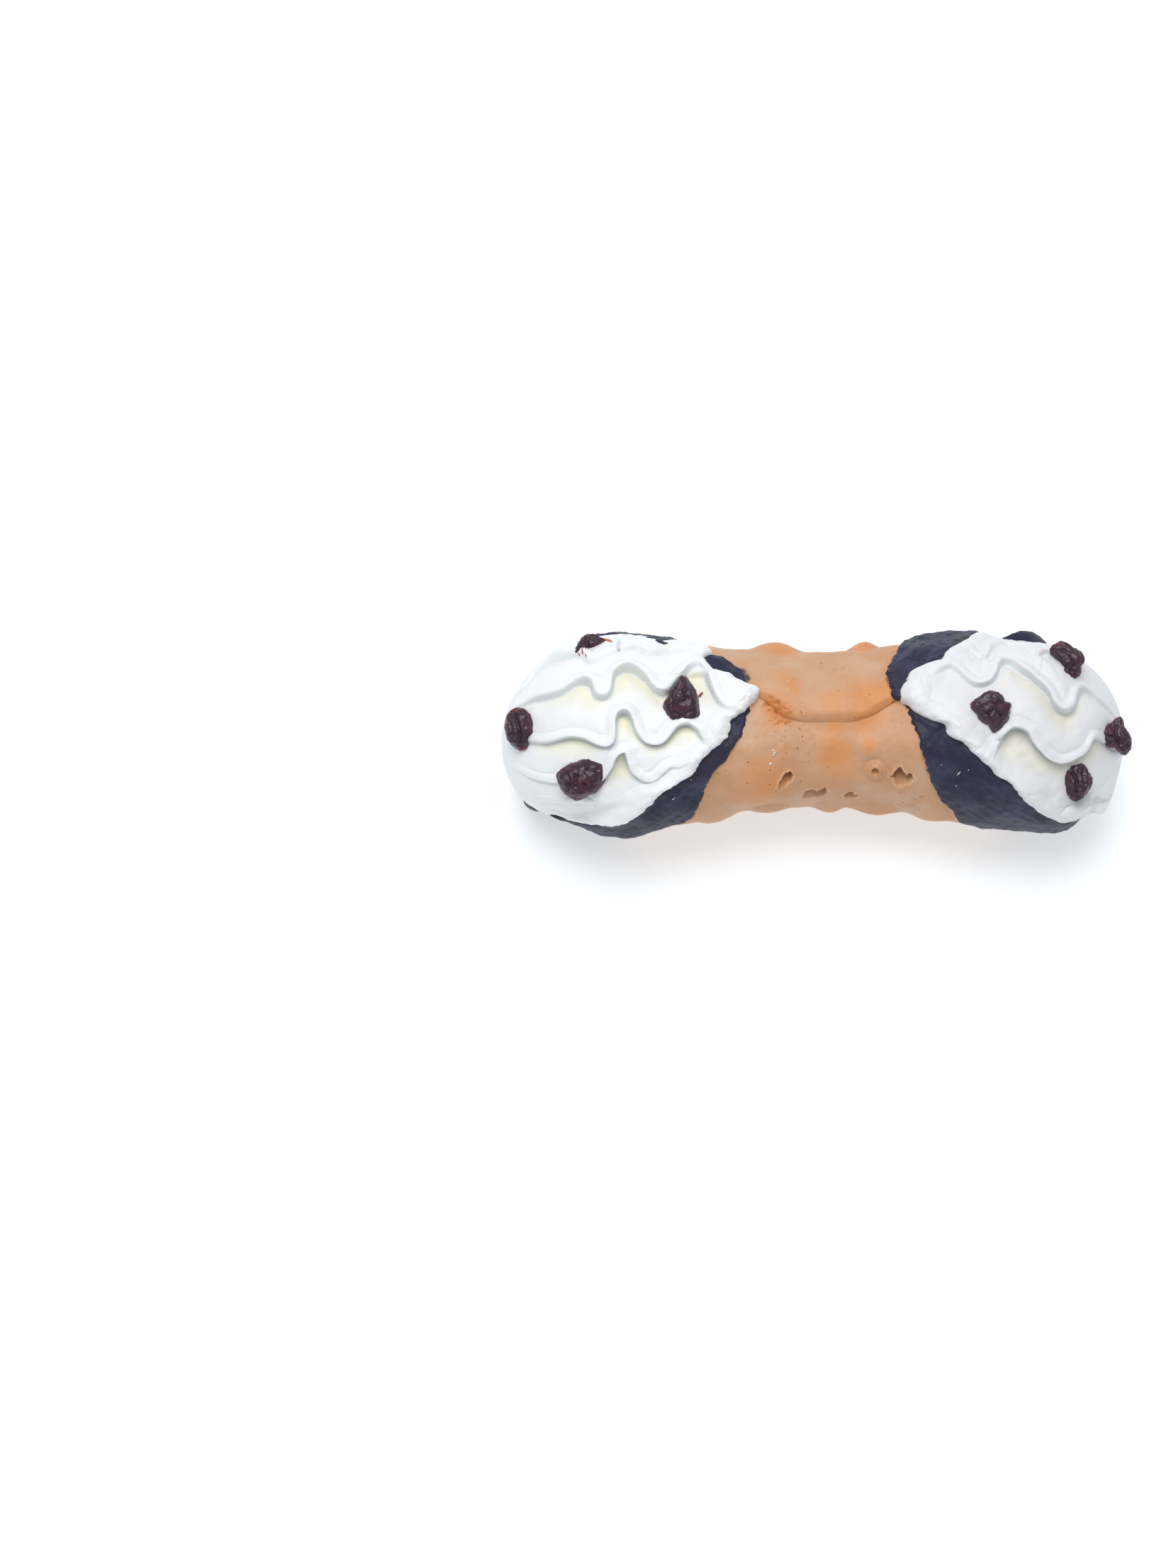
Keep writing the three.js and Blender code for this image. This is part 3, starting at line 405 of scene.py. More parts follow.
# Fine unevenness, as layers of ripples of (height, size, seed).
RIPPLES = {
    "dough": [(0.16, 9.0, 11), (0.06, 3.2, 12), (0.02, 1.0, 13)],
    "blisters": [(0.07, 3.0, 21)],
    "smear": [(0.5, 2.0, 22)],
    "bursts": [(0.1, 0.9, 31), (0.06, 0.45, 32)],
    "dip_line": [(0.3, 4.0, 41), (0.16, 1.1, 42), (0.09, 0.4, 43)],
    "chocolate": [(0.12, 3.0, 44), (0.05, 1.1, 45)],
    "cream_edge": [(0.22, 2.2, 51), (0.12, 0.8, 52)],
    "cream": [(0.13, 5.0, 53), (0.05, 1.8, 54)],
    "torn_cream": [(0.12, 1.3, 57), (0.05, 0.5, 58)],
    "spots": [(0.22, 4.5, 61), (0.08, 1.4, 62)],
}

# ---- numbers on curves ----


def smooth(t):
    t = np.clip(t, 0.0, 1.0)
    return t * t * (3.0 - 2.0 * t)


def ease(t):
    return (1.0 - np.cos(np.pi * np.clip(t, 0.0, 1.0))) / 2.0


def within(value, span):
    """0 before a span of (start, length), 1 after it and a smooth rise inside it."""
    start, length = span
    return smooth((value - start) / length)


def mix(a, b, t):
    return a + (b - a) * t


def bell(away, width, power=2):
    """1 at a place, and less as something lies further away from it."""
    return np.exp(-((away / width) ** power))


def curve(turns, place):
    """The value at a place on a smooth curve through turns, which never overshoots them."""
    at, value = np.array(turns, float).T
    step = np.diff(at)
    rise = np.diff(value) / step
    slope = np.zeros(len(at))
    same = rise[:-1] * rise[1:] > 0
    both = np.where(same, rise[:-1] + rise[1:], 1.0)
    slope[1:-1] = np.where(same, 2 * rise[:-1] * rise[1:] / both, 0.0)
    place = np.clip(np.asarray(place, float), at[0], at[-1])
    i = np.clip(np.searchsorted(at, place) - 1, 0, len(step) - 1)
    t = (place - at[i]) / step[i]
    start = value[i] * (1 + 2 * t) * (1 - t) ** 2 + slope[i] * step[i] * t * (1 - t) ** 2
    return start + value[i + 1] * t * t * (3 - 2 * t) - slope[i + 1] * step[i] * t * t * (1 - t)


def even_line(turns, step=0.12, mm_per_unit=MM_PER_DEGREE):
    """A smooth line through turns in evenly spaced points, as its two coordinates."""
    way = np.array(turns, float)
    steps = np.hypot(np.diff(way[:, 0]), np.diff(way[:, 1]) * mm_per_unit)
    at = np.append(0.0, np.cumsum(steps))
    place = np.linspace(0, at[-1], int(at[-1] / step))
    way = np.concatenate([way[:1], way, way[-1:]])
    i = np.clip(np.searchsorted(at, place) - 1, 0, len(at) - 2)
    t = ((place - at[i]) / (at[i + 1] - at[i]))[:, None]
    a, b, c, d = (way[i + k] for k in range(4))
    bend = (2 * a - 5 * b + 4 * c - d) * t**2 + (3 * b - a - 3 * c + d) * t**3
    return ((2 * b + (c - a) * t + bend) / 2).T


def turn_between(a, b):
    return (a - b + 180.0) % 360.0 - 180.0


def ripple(points, size, seed, waves=18):
    """Smooth noise of about unit height over points, with features of a size."""
    rng = np.random.default_rng(seed)
    way = rng.normal(size=(waves, 3))
    way /= np.linalg.norm(way, axis=1)[:, None]
    pace = 2 * np.pi / (size * rng.uniform(1.2, 2.6, waves))
    phase = rng.uniform(0, 2 * np.pi, waves)
    total = np.zeros(points.shape[:-1])
    for k in range(waves):
        total += np.sin(points @ (way[k] * pace[k]) + phase[k])
    return total * math.sqrt(2.0 / waves)


def rough(surface, points):
    """A surface's unevenness at points, in millimetres."""
    return sum(height * ripple(points, size, seed) for height, size, seed in RIPPLES[surface])


# ---- the form of the tube ----


def tube_middle(x):
    return np.where(x < 0, -SIDE_SAG * smooth(-x / SAG_REACH), 0.0)


def tube_point(x, theta, radius):
    x, angle, radius = np.broadcast_arrays(x, np.radians(theta), radius)
    y = tube_middle(x) - radius * np.sin(angle)
    return np.stack([x, y, radius * np.cos(angle)], axis=-1)


def plain_radius(x, theta):
    around = mix(WAIST_RADIUS, FLARE_RADIUS, ease(np.abs(x) / FLARE_AT))
    below = -np.cos(np.radians(theta))
    flat = FLAT_HEIGHT / np.maximum(below, 0.5)
    turned = turn_between(theta, 0.0)
    tucked = sum(curve(along, x) * curve(round_, turned) for along, round_ in TUCKS)
    return np.where(below > 0.5, np.minimum(around, flat), around) - tucked


def spot_offset(x, theta, spot_x, spot_theta, tilt=0.0):
    """Where a point lies from a spot on the tube, along and round it, in a tilted frame."""
    dx = x - spot_x
    dy = np.radians(turn_between(theta, spot_theta)) * WAIST_RADIUS
    c, s = math.cos(math.radians(tilt)), math.sin(math.radians(tilt))
    return dx * c + dy * s, dy * c - dx * s


def dome(x, theta, spot, uneven=1.0):
    """1 in the middle of a spot of (x, theta, radius along, radius round) and 0 at its foot."""
    spot_x, spot_theta, along, round_ = spot
    a, b = spot_offset(x, theta, spot_x, spot_theta)
    return np.clip(1 - np.hypot(a / along, b / round_) ** 2 * uneven, 0, 1)


def blister_height(x, theta):
    height = np.zeros(np.broadcast(x, theta).shape)
    uneven = 1 + rough("blisters", tube_point(x, theta, WAIST_RADIUS))
    for *spot, rise, sharp in BLISTERS:
        inside = dome(x, theta, spot, uneven)
        domed = np.sqrt(inside) * (0.4 + 0.6 * inside)
        height = np.maximum(height, rise * mix(inside**2, domed, sharp))
    return height


def volcano_height(x, theta):
    """A low cone with a crater, a rim round it and a groove at its foot."""
    spot_x, spot_theta, ring, rise = VOLCANO
    away = np.hypot(*spot_offset(x, theta, spot_x, spot_theta)) / ring
    cone = 0.6 * rise * np.clip(1 - away**2, 0, 1) ** 0.6
    rim = 0.55 * rise * bell(away - 0.46, 0.12)
    crater = (0.6 * rise + 0.35) * bell(away, 0.27, 4)
    return cone + rim - crater - 0.12 * bell(away - 1.12, 0.16)


def outline_reach(outline, angle):
    """How far an outline lies from its middle at each angle, and the middle."""
    around = np.array(outline)
    middle = (around.max(axis=0) + around.min(axis=0)) / 2
    across, up = (around - middle).T
    at = np.degrees(np.arctan2(up, across))
    order = at.argsort()
    at, reach = at[order], np.hypot(across, up)[order]
    at = np.concatenate([at[-2:] - 360, at, at[:2] + 360])
    reach = np.concatenate([reach[-2:], reach, reach[:2]])
    rounded = curve(np.stack([at, reach], axis=1), angle)
    return np.interp(angle, at, reach) / 2 + rounded / 2, middle


def burst_fields(x, theta):
    """Depth of the burst blisters and height of the thin skin curled round them."""
    uneven = 1 - 0.5 * rough("bursts", tube_point(x, theta, WAIST_RADIUS))
    depth = np.zeros(uneven.shape)
    curl = np.zeros(uneven.shape)
    for spot_x, spot_theta, deep, outline in BURSTS:
        a, b = spot_offset(x, theta, spot_x, spot_theta)
        close = np.hypot(a, b) < BURST_REACH
        _, (middle_a, middle_b) = outline_reach(outline, 0.0)
        a, b = a[close] - middle_a, b[close] - middle_b
        reach, _ = outline_reach(outline, np.degrees(np.arctan2(b, a)))
        inside = reach * uneven[close] - np.hypot(a, b)
        slant = np.clip(0.85 - 0.4 * b, 0.3, 1.2)  # deeper at its upper side
        depth[close] = np.maximum(depth[close], deep * smooth(inside / BURST_WALL) * slant)
        rim = CURL_HEIGHT * min(deep, 1) * bell(inside + CURL_WIDTH, CURL_WIDTH)
        curl[close] = np.maximum(curl[close], rim)
    return depth, curl


def spot_share(spots, x, theta):
    """How near each point lies to the middle of a spot of (x, theta, radius)."""
    shares = [bell(np.hypot(*spot_offset(x, theta, *spot)), radius) for *spot, radius in spots]
    return np.max(shares, axis=0) * (1 + rough("spots", tube_point(x, theta, WAIST_RADIUS)))


def crack_share(x, theta):
    """The rough, browned patch beside the wrapped lip."""
    spot_x, spot_theta, tilt, length, width = CRACK
    a, b = spot_offset(x, theta, spot_x, spot_theta, tilt)
    return smooth(1.7 - np.hypot(a / length, b / width))


def skin_relief(x, theta):
    """Everything the dough's outside adds to its plain radius."""
    here = tube_point(x, theta, plain_radius(x, theta))
    off_table = smooth((np.cos(np.radians(theta)) + 0.93) / 0.3)
    pits = np.clip(ripple(here, *PITS), 0, None) - 0.4
    cracked = -PIT_DEPTH * crack_share(x, theta) * pits
    depth, curl = burst_fields(x, theta)
    raised = blister_height(x, theta) + volcano_height(x, theta)
    return raised + rough("dough", here) * off_table + cracked + curl - depth


def layer_middle(half, wrap, x, theta):
    """Radius of the middle of a half's sheet, where the halves lie over one another."""
    if half["turn"] < 0:
        shift = FLAP_LIFT * within(wrap, FLAP_RISES)
    else:
        shift = -LAYER_SINK * within(wrap, LAYER_SINKS)
    return plain_radius(x, theta) + shift - SHEET / 2


# ---- meshes ----


def placed(points):
    """Tube millimetres to metres in the frame, where nothing is lower than the table."""
    metres = (points + TUBE_PLACE) / 1000.0
    metres[..., 2] = np.maximum(metres[..., 2], 0.0)
    return metres


def build_mesh(name, points, face_sets, paints=None):
    mesh = bpy.data.meshes.new(name)
    corners = np.concatenate([faces.ravel() for faces in face_sets]).astype(np.int32)
    sizes = np.concatenate([np.full(len(faces), faces.shape[1]) for faces in face_sets])
    starts = np.concatenate([[0], np.cumsum(sizes)[:-1]]).astype(np.int32)
    mesh.vertices.add(len(points))
    mesh.vertices.foreach_set("co", placed(points).astype(np.float32).ravel())
    mesh.loops.add(len(corners))
    mesh.loops.foreach_set("vertex_index", corners)
    mesh.polygons.add(len(sizes))
    mesh.polygons.foreach_set("loop_start", starts)
    mesh.update(calc_edges=True)
    mesh.validate()
    mesh.polygons.foreach_set("use_smooth", np.ones(len(mesh.polygons), dtype=bool))
    for paint, values in (paints or {}).items():
        layer = mesh.attributes.new(paint, "FLOAT", "POINT")
        layer.data.foreach_set("value", np.asarray(values, np.float32).ravel())
    return mesh


def face_outwards(mesh):
    """Turns the faces out where the mesh was wound inwards."""
    co = np.empty(len(mesh.vertices) * 3, np.float32)
    mesh.vertices.foreach_get("co", co)
    co = co.reshape(-1, 3).astype(float)
    co -= co.mean(axis=0)
    mesh.calc_loop_triangles()
    tris = np.empty(len(mesh.loop_triangles) * 3, np.int32)
    mesh.loop_triangles.foreach_get("vertices", tris)
    a, b, c = co[tris.reshape(-1, 3)].transpose(1, 0, 2)
    if np.einsum("ij,ij->i", a, np.cross(b, c)).sum() < 0:
        mesh.flip_normals()


def add_object(name, data):
    obj = bpy.data.objects.new(name, data)
    bpy.context.scene.collection.objects.link(obj)
    return obj


def add_piece(mesh, material, slot, *nodes):
    """Adds a mesh as a piece of its own name, which replaces the nodes that are named."""
    obj = add_object(mesh.name, mesh)
    mesh.materials.append(material)
    face_outwards(mesh)
    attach(obj, "root")
    if nodes:
        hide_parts(*nodes)
    return obj


def closed_body(loops):
    """Points and faces of a closed body from its loops, shaped (rows, count, 3)."""
    rows, count, _ = loops.shape
    ring = np.arange(count)
    turn = (ring + 1) % count
    row = np.arange(rows - 1)[:, None] * count
    quads = np.stack([row + ring, row + turn, row + count + turn, row + count + ring], axis=-1)
    base = (rows - 1) * count
    first = np.stack([np.full(count, rows * count), turn, ring], axis=-1)
    last = np.stack([np.full(count, rows * count + 1), base + ring, base + turn], axis=-1)
    ends = np.stack([loops[0].mean(axis=0), loops[-1].mean(axis=0)])
    points = np.concatenate([loops.reshape(-1, 3), ends])
    return points, [quads.reshape(-1, 4), np.concatenate([first, last])]


def joined(bodies):
    """Several closed bodies as one set of points and faces."""
    points, faces, total = [], [], 0
    for own_points, own_faces in bodies:
        points.append(own_points)
        faces += [some + total for some in own_faces]
        total += len(own_points)
    return np.concatenate(points), faces


def with_ends(values):
    """The values of a body's loops, with those of its two end points."""
    return np.concatenate([values.ravel(), [values[0].mean(), values[-1].mean()]])


# ---- dough and chocolate ----


def half_rows(half, extra):
    """Wrap and theta of each cross-section of a half, grown by extra millimetres."""
    reach = half["reach"] + math.degrees(extra / WAIST_RADIUS)
    share = np.sin(np.pi / 2 * np.linspace(0, 0.965, HALF_ROWS))
    wrap = mix(WRAP_START, reach, share)[:, None]
    return wrap, half["turn"] * (180 - wrap)


def bent_sheet(middle, level, thick, relief, x, theta):
    """A closed sheet round a middle radius, at level 1 outside and -1 inside."""
    reach = middle + level * thick + relief * (level + 1) / 2
    return closed_body(tube_point(x, theta, reach))


def dough_paints(half_name, x, theta, flap):
    """What the dough's material is told at each point."""
    from_left = np.clip(x - curve(DIP_LINES["left", half_name], theta), 0, None)
    from_right = np.clip(curve(DIP_LINES["right", half_name], theta) - x, 0, None)
    patchy = 1 + rough("smear", tube_point(x, theta, WAIST_RADIUS))
    beside_cream = smooth((-theta - 8) / 12) * smooth((70 + theta) / 20) * (half_name == "outer")
    smear = np.exp(-from_left / 1.1) * beside_cream * patchy
    smear = smear + 0.4 * np.exp(-from_right / 0.5) * patchy
    depth, curl = burst_fields(x, theta)
    return {
        "blister": blister_height(x, theta), "burst": depth, "crack": crack_share(x, theta),
        "smear": smear, "flap": flap, "warm": spot_share(WARM_SPOTS, x, theta),
        "fleck": spot_share(FLECK_SPOTS, x, theta), "curl": curl,
    }


def dough_half(half_name):
    half = HALVES[half_name]
    wrap, theta = half_rows(half, 0.0)
    low, high = curve(half["left"], wrap), curve(half["right"], wrap)
    thin = within(wrap, FLAP_THINS) * (half_name == "outer")
    round_ = np.minimum(SHEET / 2 * (1 + 0.5 * thin), (high - low) / 2 * 0.98)
    face = np.linspace(0, 1, FACE_COLUMNS)
    back = np.linspace(1, 0, BACK_COLUMNS)
    x = np.concatenate([
        mix(low + round_, high - round_, face),
        high - round_ + round_ * np.cos(RIM_ARC),
        mix(low + round_, high - round_, back),
        low + round_ - round_ * np.cos(RIM_ARC),
    ], axis=1)
    level = np.concatenate([
        np.ones_like(face), np.sin(RIM_ARC), -np.ones_like(back), -np.sin(RIM_ARC)
    ])
    theta = np.broadcast_to(theta, x.shape)
    edge = np.minimum(x - low, high - x)
    side_fall = EDGE_FALL * (1 - smooth(edge / EDGE_WIDTH))
    tip_fall = TIP_FALL * (1 - smooth((half["reach"] - wrap) / TIP_REACH))
    fall = thin * (side_fall + tip_fall)
    middle = layer_middle(half, wrap, x, theta)
    body = bent_sheet(middle, level, SHEET / 2, skin_relief(x, theta) - fall, x, theta)
    paints = dough_paints(half_name, x, theta, thin * np.exp(-edge / 4.0))
    return body, {paint: with_ends(values) for paint, values in paints.items()}


def add_dough():
    halves = [dough_half(name) for name in HALVES]
    points, faces = joined([body for body, _ in halves])
    paints = {key: np.concatenate([half[1][key] for half in halves]) for key in halves[0][1]}
    mesh = build_mesh("fried_dough", points, faces, paints)
    return add_piece(mesh, dough_material(), "fried_dough", "shell")


def chocolate_half(end_name, half_name):
    """One half's chocolate: a coat that starts at the dip line and goes round the rim."""
    half = HALVES[half_name]
    side = CREAM_ENDS[end_name]["side"]
    wrap, theta = half_rows(half, COAT)
    rim = curve(half[end_name], wrap) + side * COAT
    line = curve(DIP_LINES[end_name, half_name], theta)
    line = line + side * rough("dip_line", tube_point(line, theta, WAIST_RADIUS))
    shown = (side * (rim - line))[:, 0] > SHORTEST_COAT
    theta, wrap, rim, line = (values[shown] for values in (theta, wrap, rim, line))
    round_ = np.minimum(SHEET / 2 + COAT, side * (rim - line) * 0.45)
    face = np.concatenate([np.linspace(0, 0.1, 9)[:-1], np.linspace(0.1, 1, COAT_COLUMNS)])
    back = np.linspace(1, 0, 22)
    turn_x = rim - side * round_
    x = np.concatenate([
        mix(line, turn_x, face),
        turn_x + side * round_ * np.cos(RIM_ARC),
        mix(line, turn_x, back),
    ], axis=1)
    level = np.concatenate([np.ones_like(face), np.sin(RIM_ARC), -np.ones_like(back)])
    theta = np.broadcast_to(theta, x.shape)
    from_line = np.clip(side * (x - line), 0, None)
    feather = np.sqrt(1 - (1 - np.minimum(from_line / FEATHER, 1)) ** 2)
    thick = SHEET / 2 + mix(-0.2, COAT, feather)
    middle = layer_middle(half, wrap, x, theta)
    relief = skin_relief(x, theta) + rough("chocolate", tube_point(x, theta, middle)) * feather
    return bent_sheet(middle, level, thick, relief, x, theta)


def add_chocolate(end_name):
    points, faces = joined([chocolate_half(end_name, half_name) for half_name in HALVES])
    mesh = build_mesh("dark_chocolate_" + end_name, points, faces)
    return add_piece(mesh, chocolate_material(), "chocolate", "chocolate_" + end_name)


# ---- cream ----


def cream_section(end, x, theta):
    """Height of the cream's middle line, distance of its lid from it and share of the cap."""
    share = np.clip((np.abs(x) - end["shoulder"]) / (end["pole"] - end["shoulder"]), 0, 1)
    outside = within(np.abs(x), SWELL_SPAN) * (1 - share**2)
    swell = curve(end["swell"], turn_between(theta, 0.0)) * outside
    return -end["drop"] * smooth(share), end["lid"] * np.sqrt(1 - share**CAP_POWER) + swell, share


def cream_point(end, x, theta, radius):
    """A point of the cream, at radius from its middle line."""
    middle, _, _ = cream_section(end, x, theta)
    angle = np.radians(theta)
    return np.stack([
        x + 0 * radius, tube_middle(x) - radius * np.sin(angle), middle + radius * np.cos(angle)
    ], axis=-1)


def lid_point(end, x, theta):
    return cream_point(end, x, theta, cream_section(end, x, theta)[1])


def all_crests(end):
    """Every crest of an end as a line and its depths, from the top down and round the back."""
    crests = []
    for turns, depths in end["crests"]:
        x, theta = even_line(turns)
        share = np.minimum(curve(depths, x) / 2.5, 1)
        ahead, down = np.gradient(x), np.gradient(theta * MM_PER_DEGREE)
        pace = np.hypot(ahead, down) / CREST_SHIFT
        turned = theta - share * (ahead / pace / MM_PER_DEGREE + CREST_TURN)
        crests.append((np.array([x + share * down / pace, turned]), depths))
    for k, far in enumerate(FAR_CRESTS):
        x = np.sort(end["side"] * np.linspace(8, end["pole"] - 0.3, 500))
        crests.append((np.array([x, far + 4.0 * np.sin(x * 0.42 + 1.7 * k)]), FAR_DEPTHS))
    return crests


def crest_distance(end, line, theta, points):
    """How far points lie under a crest, less than 0 over it, and the way down from it."""
    way = lid_point(end, *line)
    along = np.gradient(way, axis=0)
    along /= np.linalg.norm(along, axis=1)[:, None]
    if way[-1, 0] < way[0, 0]:
        along = -along
    angle = np.radians(line[1])
    out = np.stack([0 * angle, -np.sin(angle), np.cos(angle)], axis=-1)
    down = np.cross(along, out)
    tree = kdtree.KDTree(len(way))
    for i, place in enumerate(way.tolist()):
        tree.insert(place, i)
    tree.balance()
    turned = turn_between(theta, line[1].mean())
    near = np.abs(turned) < 60
    index, away = np.array([tree.find(place)[1:] for place in points[near].tolist()]).T
    index = index.astype(int)
    side = np.einsum("ij,ij->i", points[near] - way[index], down[index])
    distance = np.where(turned > 0, FAR_AWAY, -FAR_AWAY)
    distance[near] = np.where(side > 0, away, -away)
    way_down = np.zeros(points.shape)
    way_down[near] = down[index]
    return distance, way_down


def nearest_crest(distance):
    """Distance of the nearest crest to each point, and where that one stands in the table."""
    return distance.min(axis=0), (distance.argmin(axis=0), np.arange(distance.shape[1]))


def crest_field(end, x, theta):
    """The piped form at each point: its hollows, its crests, their lean and the shade painted under
    them.
    """
    x, theta = x.ravel(), theta.ravel()
    points = lid_point(end, x, theta)
    crests = all_crests(end)
    fields = [crest_distance(end, line, theta, points) for line, _ in crests]
    distance = np.array([field[0] for field in fields])
    depth = np.array([curve(depths, x) for _, depths in crests])
    proud = np.clip(depth / FULL_CREST, 0, 1)
    above, upper = nearest_crest(np.where(distance > 0, distance, FAR_AWAY))
    below, lower = nearest_crest(np.where(distance < 0, -distance, FAR_AWAY))
    away, closest = nearest_crest(np.abs(distance))
    share = below / (above + below)
    hollow = depth[upper] * share**1.25 * ease((above - HOLLOW_START) / HOLLOW_REACH)
    bead = proud[closest] * BEAD_HEIGHT * np.sqrt(np.clip(1 - (away / BEAD_WIDTH) ** 2, 0, 1))
    foot = BEAD_HEIGHT * np.maximum(
        proud[lower] * smooth(1 - below / FOOT_OVER), proud[upper] * smooth(1 - above / FOOT_UNDER))
    over_crest = distance[closest] + GROOVE_PLACE
    groove = GROOVE_DEPTH * proud[closest] * bell(over_crest, GROOVE_WIDTH)
    way_down = np.array([field[1] for field in fields])[closest]
    lean = way_down * (bell(away, LEAN_WIDTH) * np.minimum(depth[closest] / 3.0, 1.1))[:, None]
    # painted shade: a band under each crest and the fine groove over it, drawn darker in the colour
    under = proud[upper] * bell(above - SHADE_PLACE, SHADE_WIDTH)
    return hollow, foot - bead + groove, lean, under + groove


def softened(values, times):
    """A grid of values, closed from column to column, with its steps rounded off."""
    for _ in range(times):
        beside = (np.roll(values, 1, axis=1) + np.roll(values, -1, axis=1)) / 4
        values = values / 2 + beside
        padded = np.concatenate([values[:1], values, values[-1:]])
        values = values / 2 + (padded[2:] + padded[:-2]) / 4
    return values


def lump_height(end, x, theta):
    return sum(rise * dome(x, theta, spot) ** 1.2 for *spot, rise in end["lumps"])


def crease_depth(end, x, theta):
    depth = np.zeros(x.shape)
    points = lid_point(end, x, theta)
    for turns in end["creases"]:
        line = even_line(turns, 0.3)
        way = lid_point(end, *line)
        turned = turn_between(theta, line[1].mean())
        close = (np.abs(x - line[0].mean()) < 6) & (np.abs(turned) < 25)
        away = np.linalg.norm(points[close][:, None] - way, axis=-1)
        place = away.argmin(axis=1) / (len(way) - 1)
        width = CREASE_WIDTH * np.sin(np.pi * np.clip(place, 0.1, 0.9))
        depth[close] = np.maximum(depth[close], CREASE_DEPTH * bell(away.min(axis=1), width))
    return depth


def cream_columns():
    """Angles of the mesh's columns, close together where the cream shows."""
    seen = np.linspace(-86, 100, 480)
    hidden = np.linspace(100, 274, 90)[1:-1]
    return np.concatenate([seen, hidden])


def lid_edge(end, columns):
    """The lid's edge: its line, its ragged start, its radius there, its rise and its cover."""
    turned = turn_between(columns, 0.0)
    line = curve(end["edge"], turned)
    seen = smooth((100 - np.abs(turned)) / 20)
    start = line + seen * rough("cream_edge", tube_point(line, columns, WAIST_RADIUS))
    rise = curve(end["rises"], turned)
    over = smooth((rise + LIP_COVER) / LIP_COVER)
    wall = plain_radius(start, columns)
    return line, start, mix(wall - SHEET, wall + COAT + 0.1, over), rise, over


def piped_form(end, x, theta):
    """The hollows, crests, lean and painted shade over the grid of a lid, softened."""
    hollow, band, lean, painted_shade = crest_field(end, x, theta)
    hollow = softened(hollow.reshape(x.shape), FORM_ROUNDS["hollow"])
    band = softened(band.reshape(x.shape), FORM_ROUNDS["crest"])
    lean = [softened(part.reshape(x.shape), FORM_ROUNDS["crest"]) for part in lean.T]
    lean = np.stack(lean, axis=-1)
    return hollow, band, lean, painted_shade.reshape(x.shape)


def cream_lid(end, columns):
    """The loops of one piped end, from the edge to the pole, its start and its paints."""
    line, start, start_radius, rise, over = lid_edge(end, columns)
    share = ease(np.linspace(0, 1, LID_ROWS + 1)[:-1])[:, None]
    x = mix(start, end["side"] * end["pole"], share)
    theta = np.broadcast_to(columns, x.shape)
    inside = np.abs(x - start)
    settled = smooth((np.abs(x - line) - LIP_WIDTH) / LIP_REACH)
    _, lid, tip = cream_section(end, x, theta)
    hollow, band, lean, painted_shade = piped_form(end, x, theta)
    lip = mix(plain_radius(x, theta) + COAT + rise, lid, settled)
    plain = mix(lid, lip, over)
    fade = mix(LIP_GROOVE, 1.0, settled) * (1 - tip**4)
    here = cream_point(end, x, theta, plain)
    uneven = rough("cream", here) + (1 - smooth(inside / LID_TORN)) * rough("torn_cream", here)
    grown = (uneven + lump_height(end, x, theta)) * (1 - tip**4)
    reach = plain - (hollow + band) * fade + grown - crease_depth(end, x, theta)
    lean = lean * (CREST_LEAN * mix(0.3, 1.0, settled) * (1 - tip**2))[..., None]
    full = cream_point(end, x, theta, reach) + lean
    for spot_x, spot_theta, push in end["tails"]:
        away = np.hypot(x - spot_x, np.radians(theta - spot_theta) * 11.0)
        full[..., 0] += push * bell(away, TAIL_WIDTH)
    risen = np.sqrt(1 - (1 - np.minimum(inside / LID_SHOULDER, 1)) ** 2)[..., None]
    # Paints for the colour: painted shade and warm glow in the hollows, painted shade under the
    # crests, and the right end painted darker as shade.
    paints = {"hollow": hollow * fade, "painted_shade": painted_shade * fade, "painted_end_shade": 0 * x + (end["side"] > 0)}
    return mix(tube_point(x, theta, start_radius), full, risen), start, paints


def add_cream():
    """The filling as one body: the left end, the core inside the tube and the right end."""
    columns = cream_columns()
    left, left_start, left_paints = cream_lid(CREAM_ENDS["left"], columns)
    right, right_start, right_paints = cream_lid(CREAM_ENDS["right"], columns)
    x = mix(left_start, right_start, np.linspace(0, 1, 9)[:, None])
    core = tube_point(x, columns, plain_radius(x, columns) - SHEET - CORE_GAP)
    points, faces = closed_body(np.concatenate([left[::-1], core, right]))
    for index, end in ((-2, CREAM_ENDS["left"]), (-1, CREAM_ENDS["right"])):
        pole = end["side"] * end["pole"]
        points[index] = (pole, float(tube_middle(pole)), -end["drop"])
    paints = {
        paint: with_ends(np.concatenate([left_paints[paint][::-1], 0 * x, right_paints[paint]]))
        for paint in left_paints
    }
    mesh = build_mesh("whipped_cream", points, faces, paints)
    return add_piece(mesh, cream_material(), "whipped_cream", "cream")


# ---- cherries ----


def from_view(across, up, back):
    """A place across, up and back towards the camera in its slanted view, in millimetres."""
    return ACROSS * across + UP * up + BACK * back


def unit_ball():
    """Points and faces of an even ball of radius 1."""
    shape = bmesh.new()
    bmesh.ops.create_icosphere(shape, subdivisions=6, radius=1.0)
    shape.verts.index_update()
    points = np.array([vertex.co for vertex in shape.verts])
    faces = np.array([[vertex.index for vertex in face.verts] for face in shape.faces])
    shape.free()
    return points, faces


def fold_share(seen, folds):
    """How near each place in the view lies to a fold."""
    share = np.zeros(len(seen))
    for turns in folds:
        way = even_line(turns, 0.1, 1.0).T
        away = np.linalg.norm(seen[:, None] - way, axis=-1).min(axis=1)
        share = np.maximum(share, bell(away, FOLD_WIDTH))
    return share


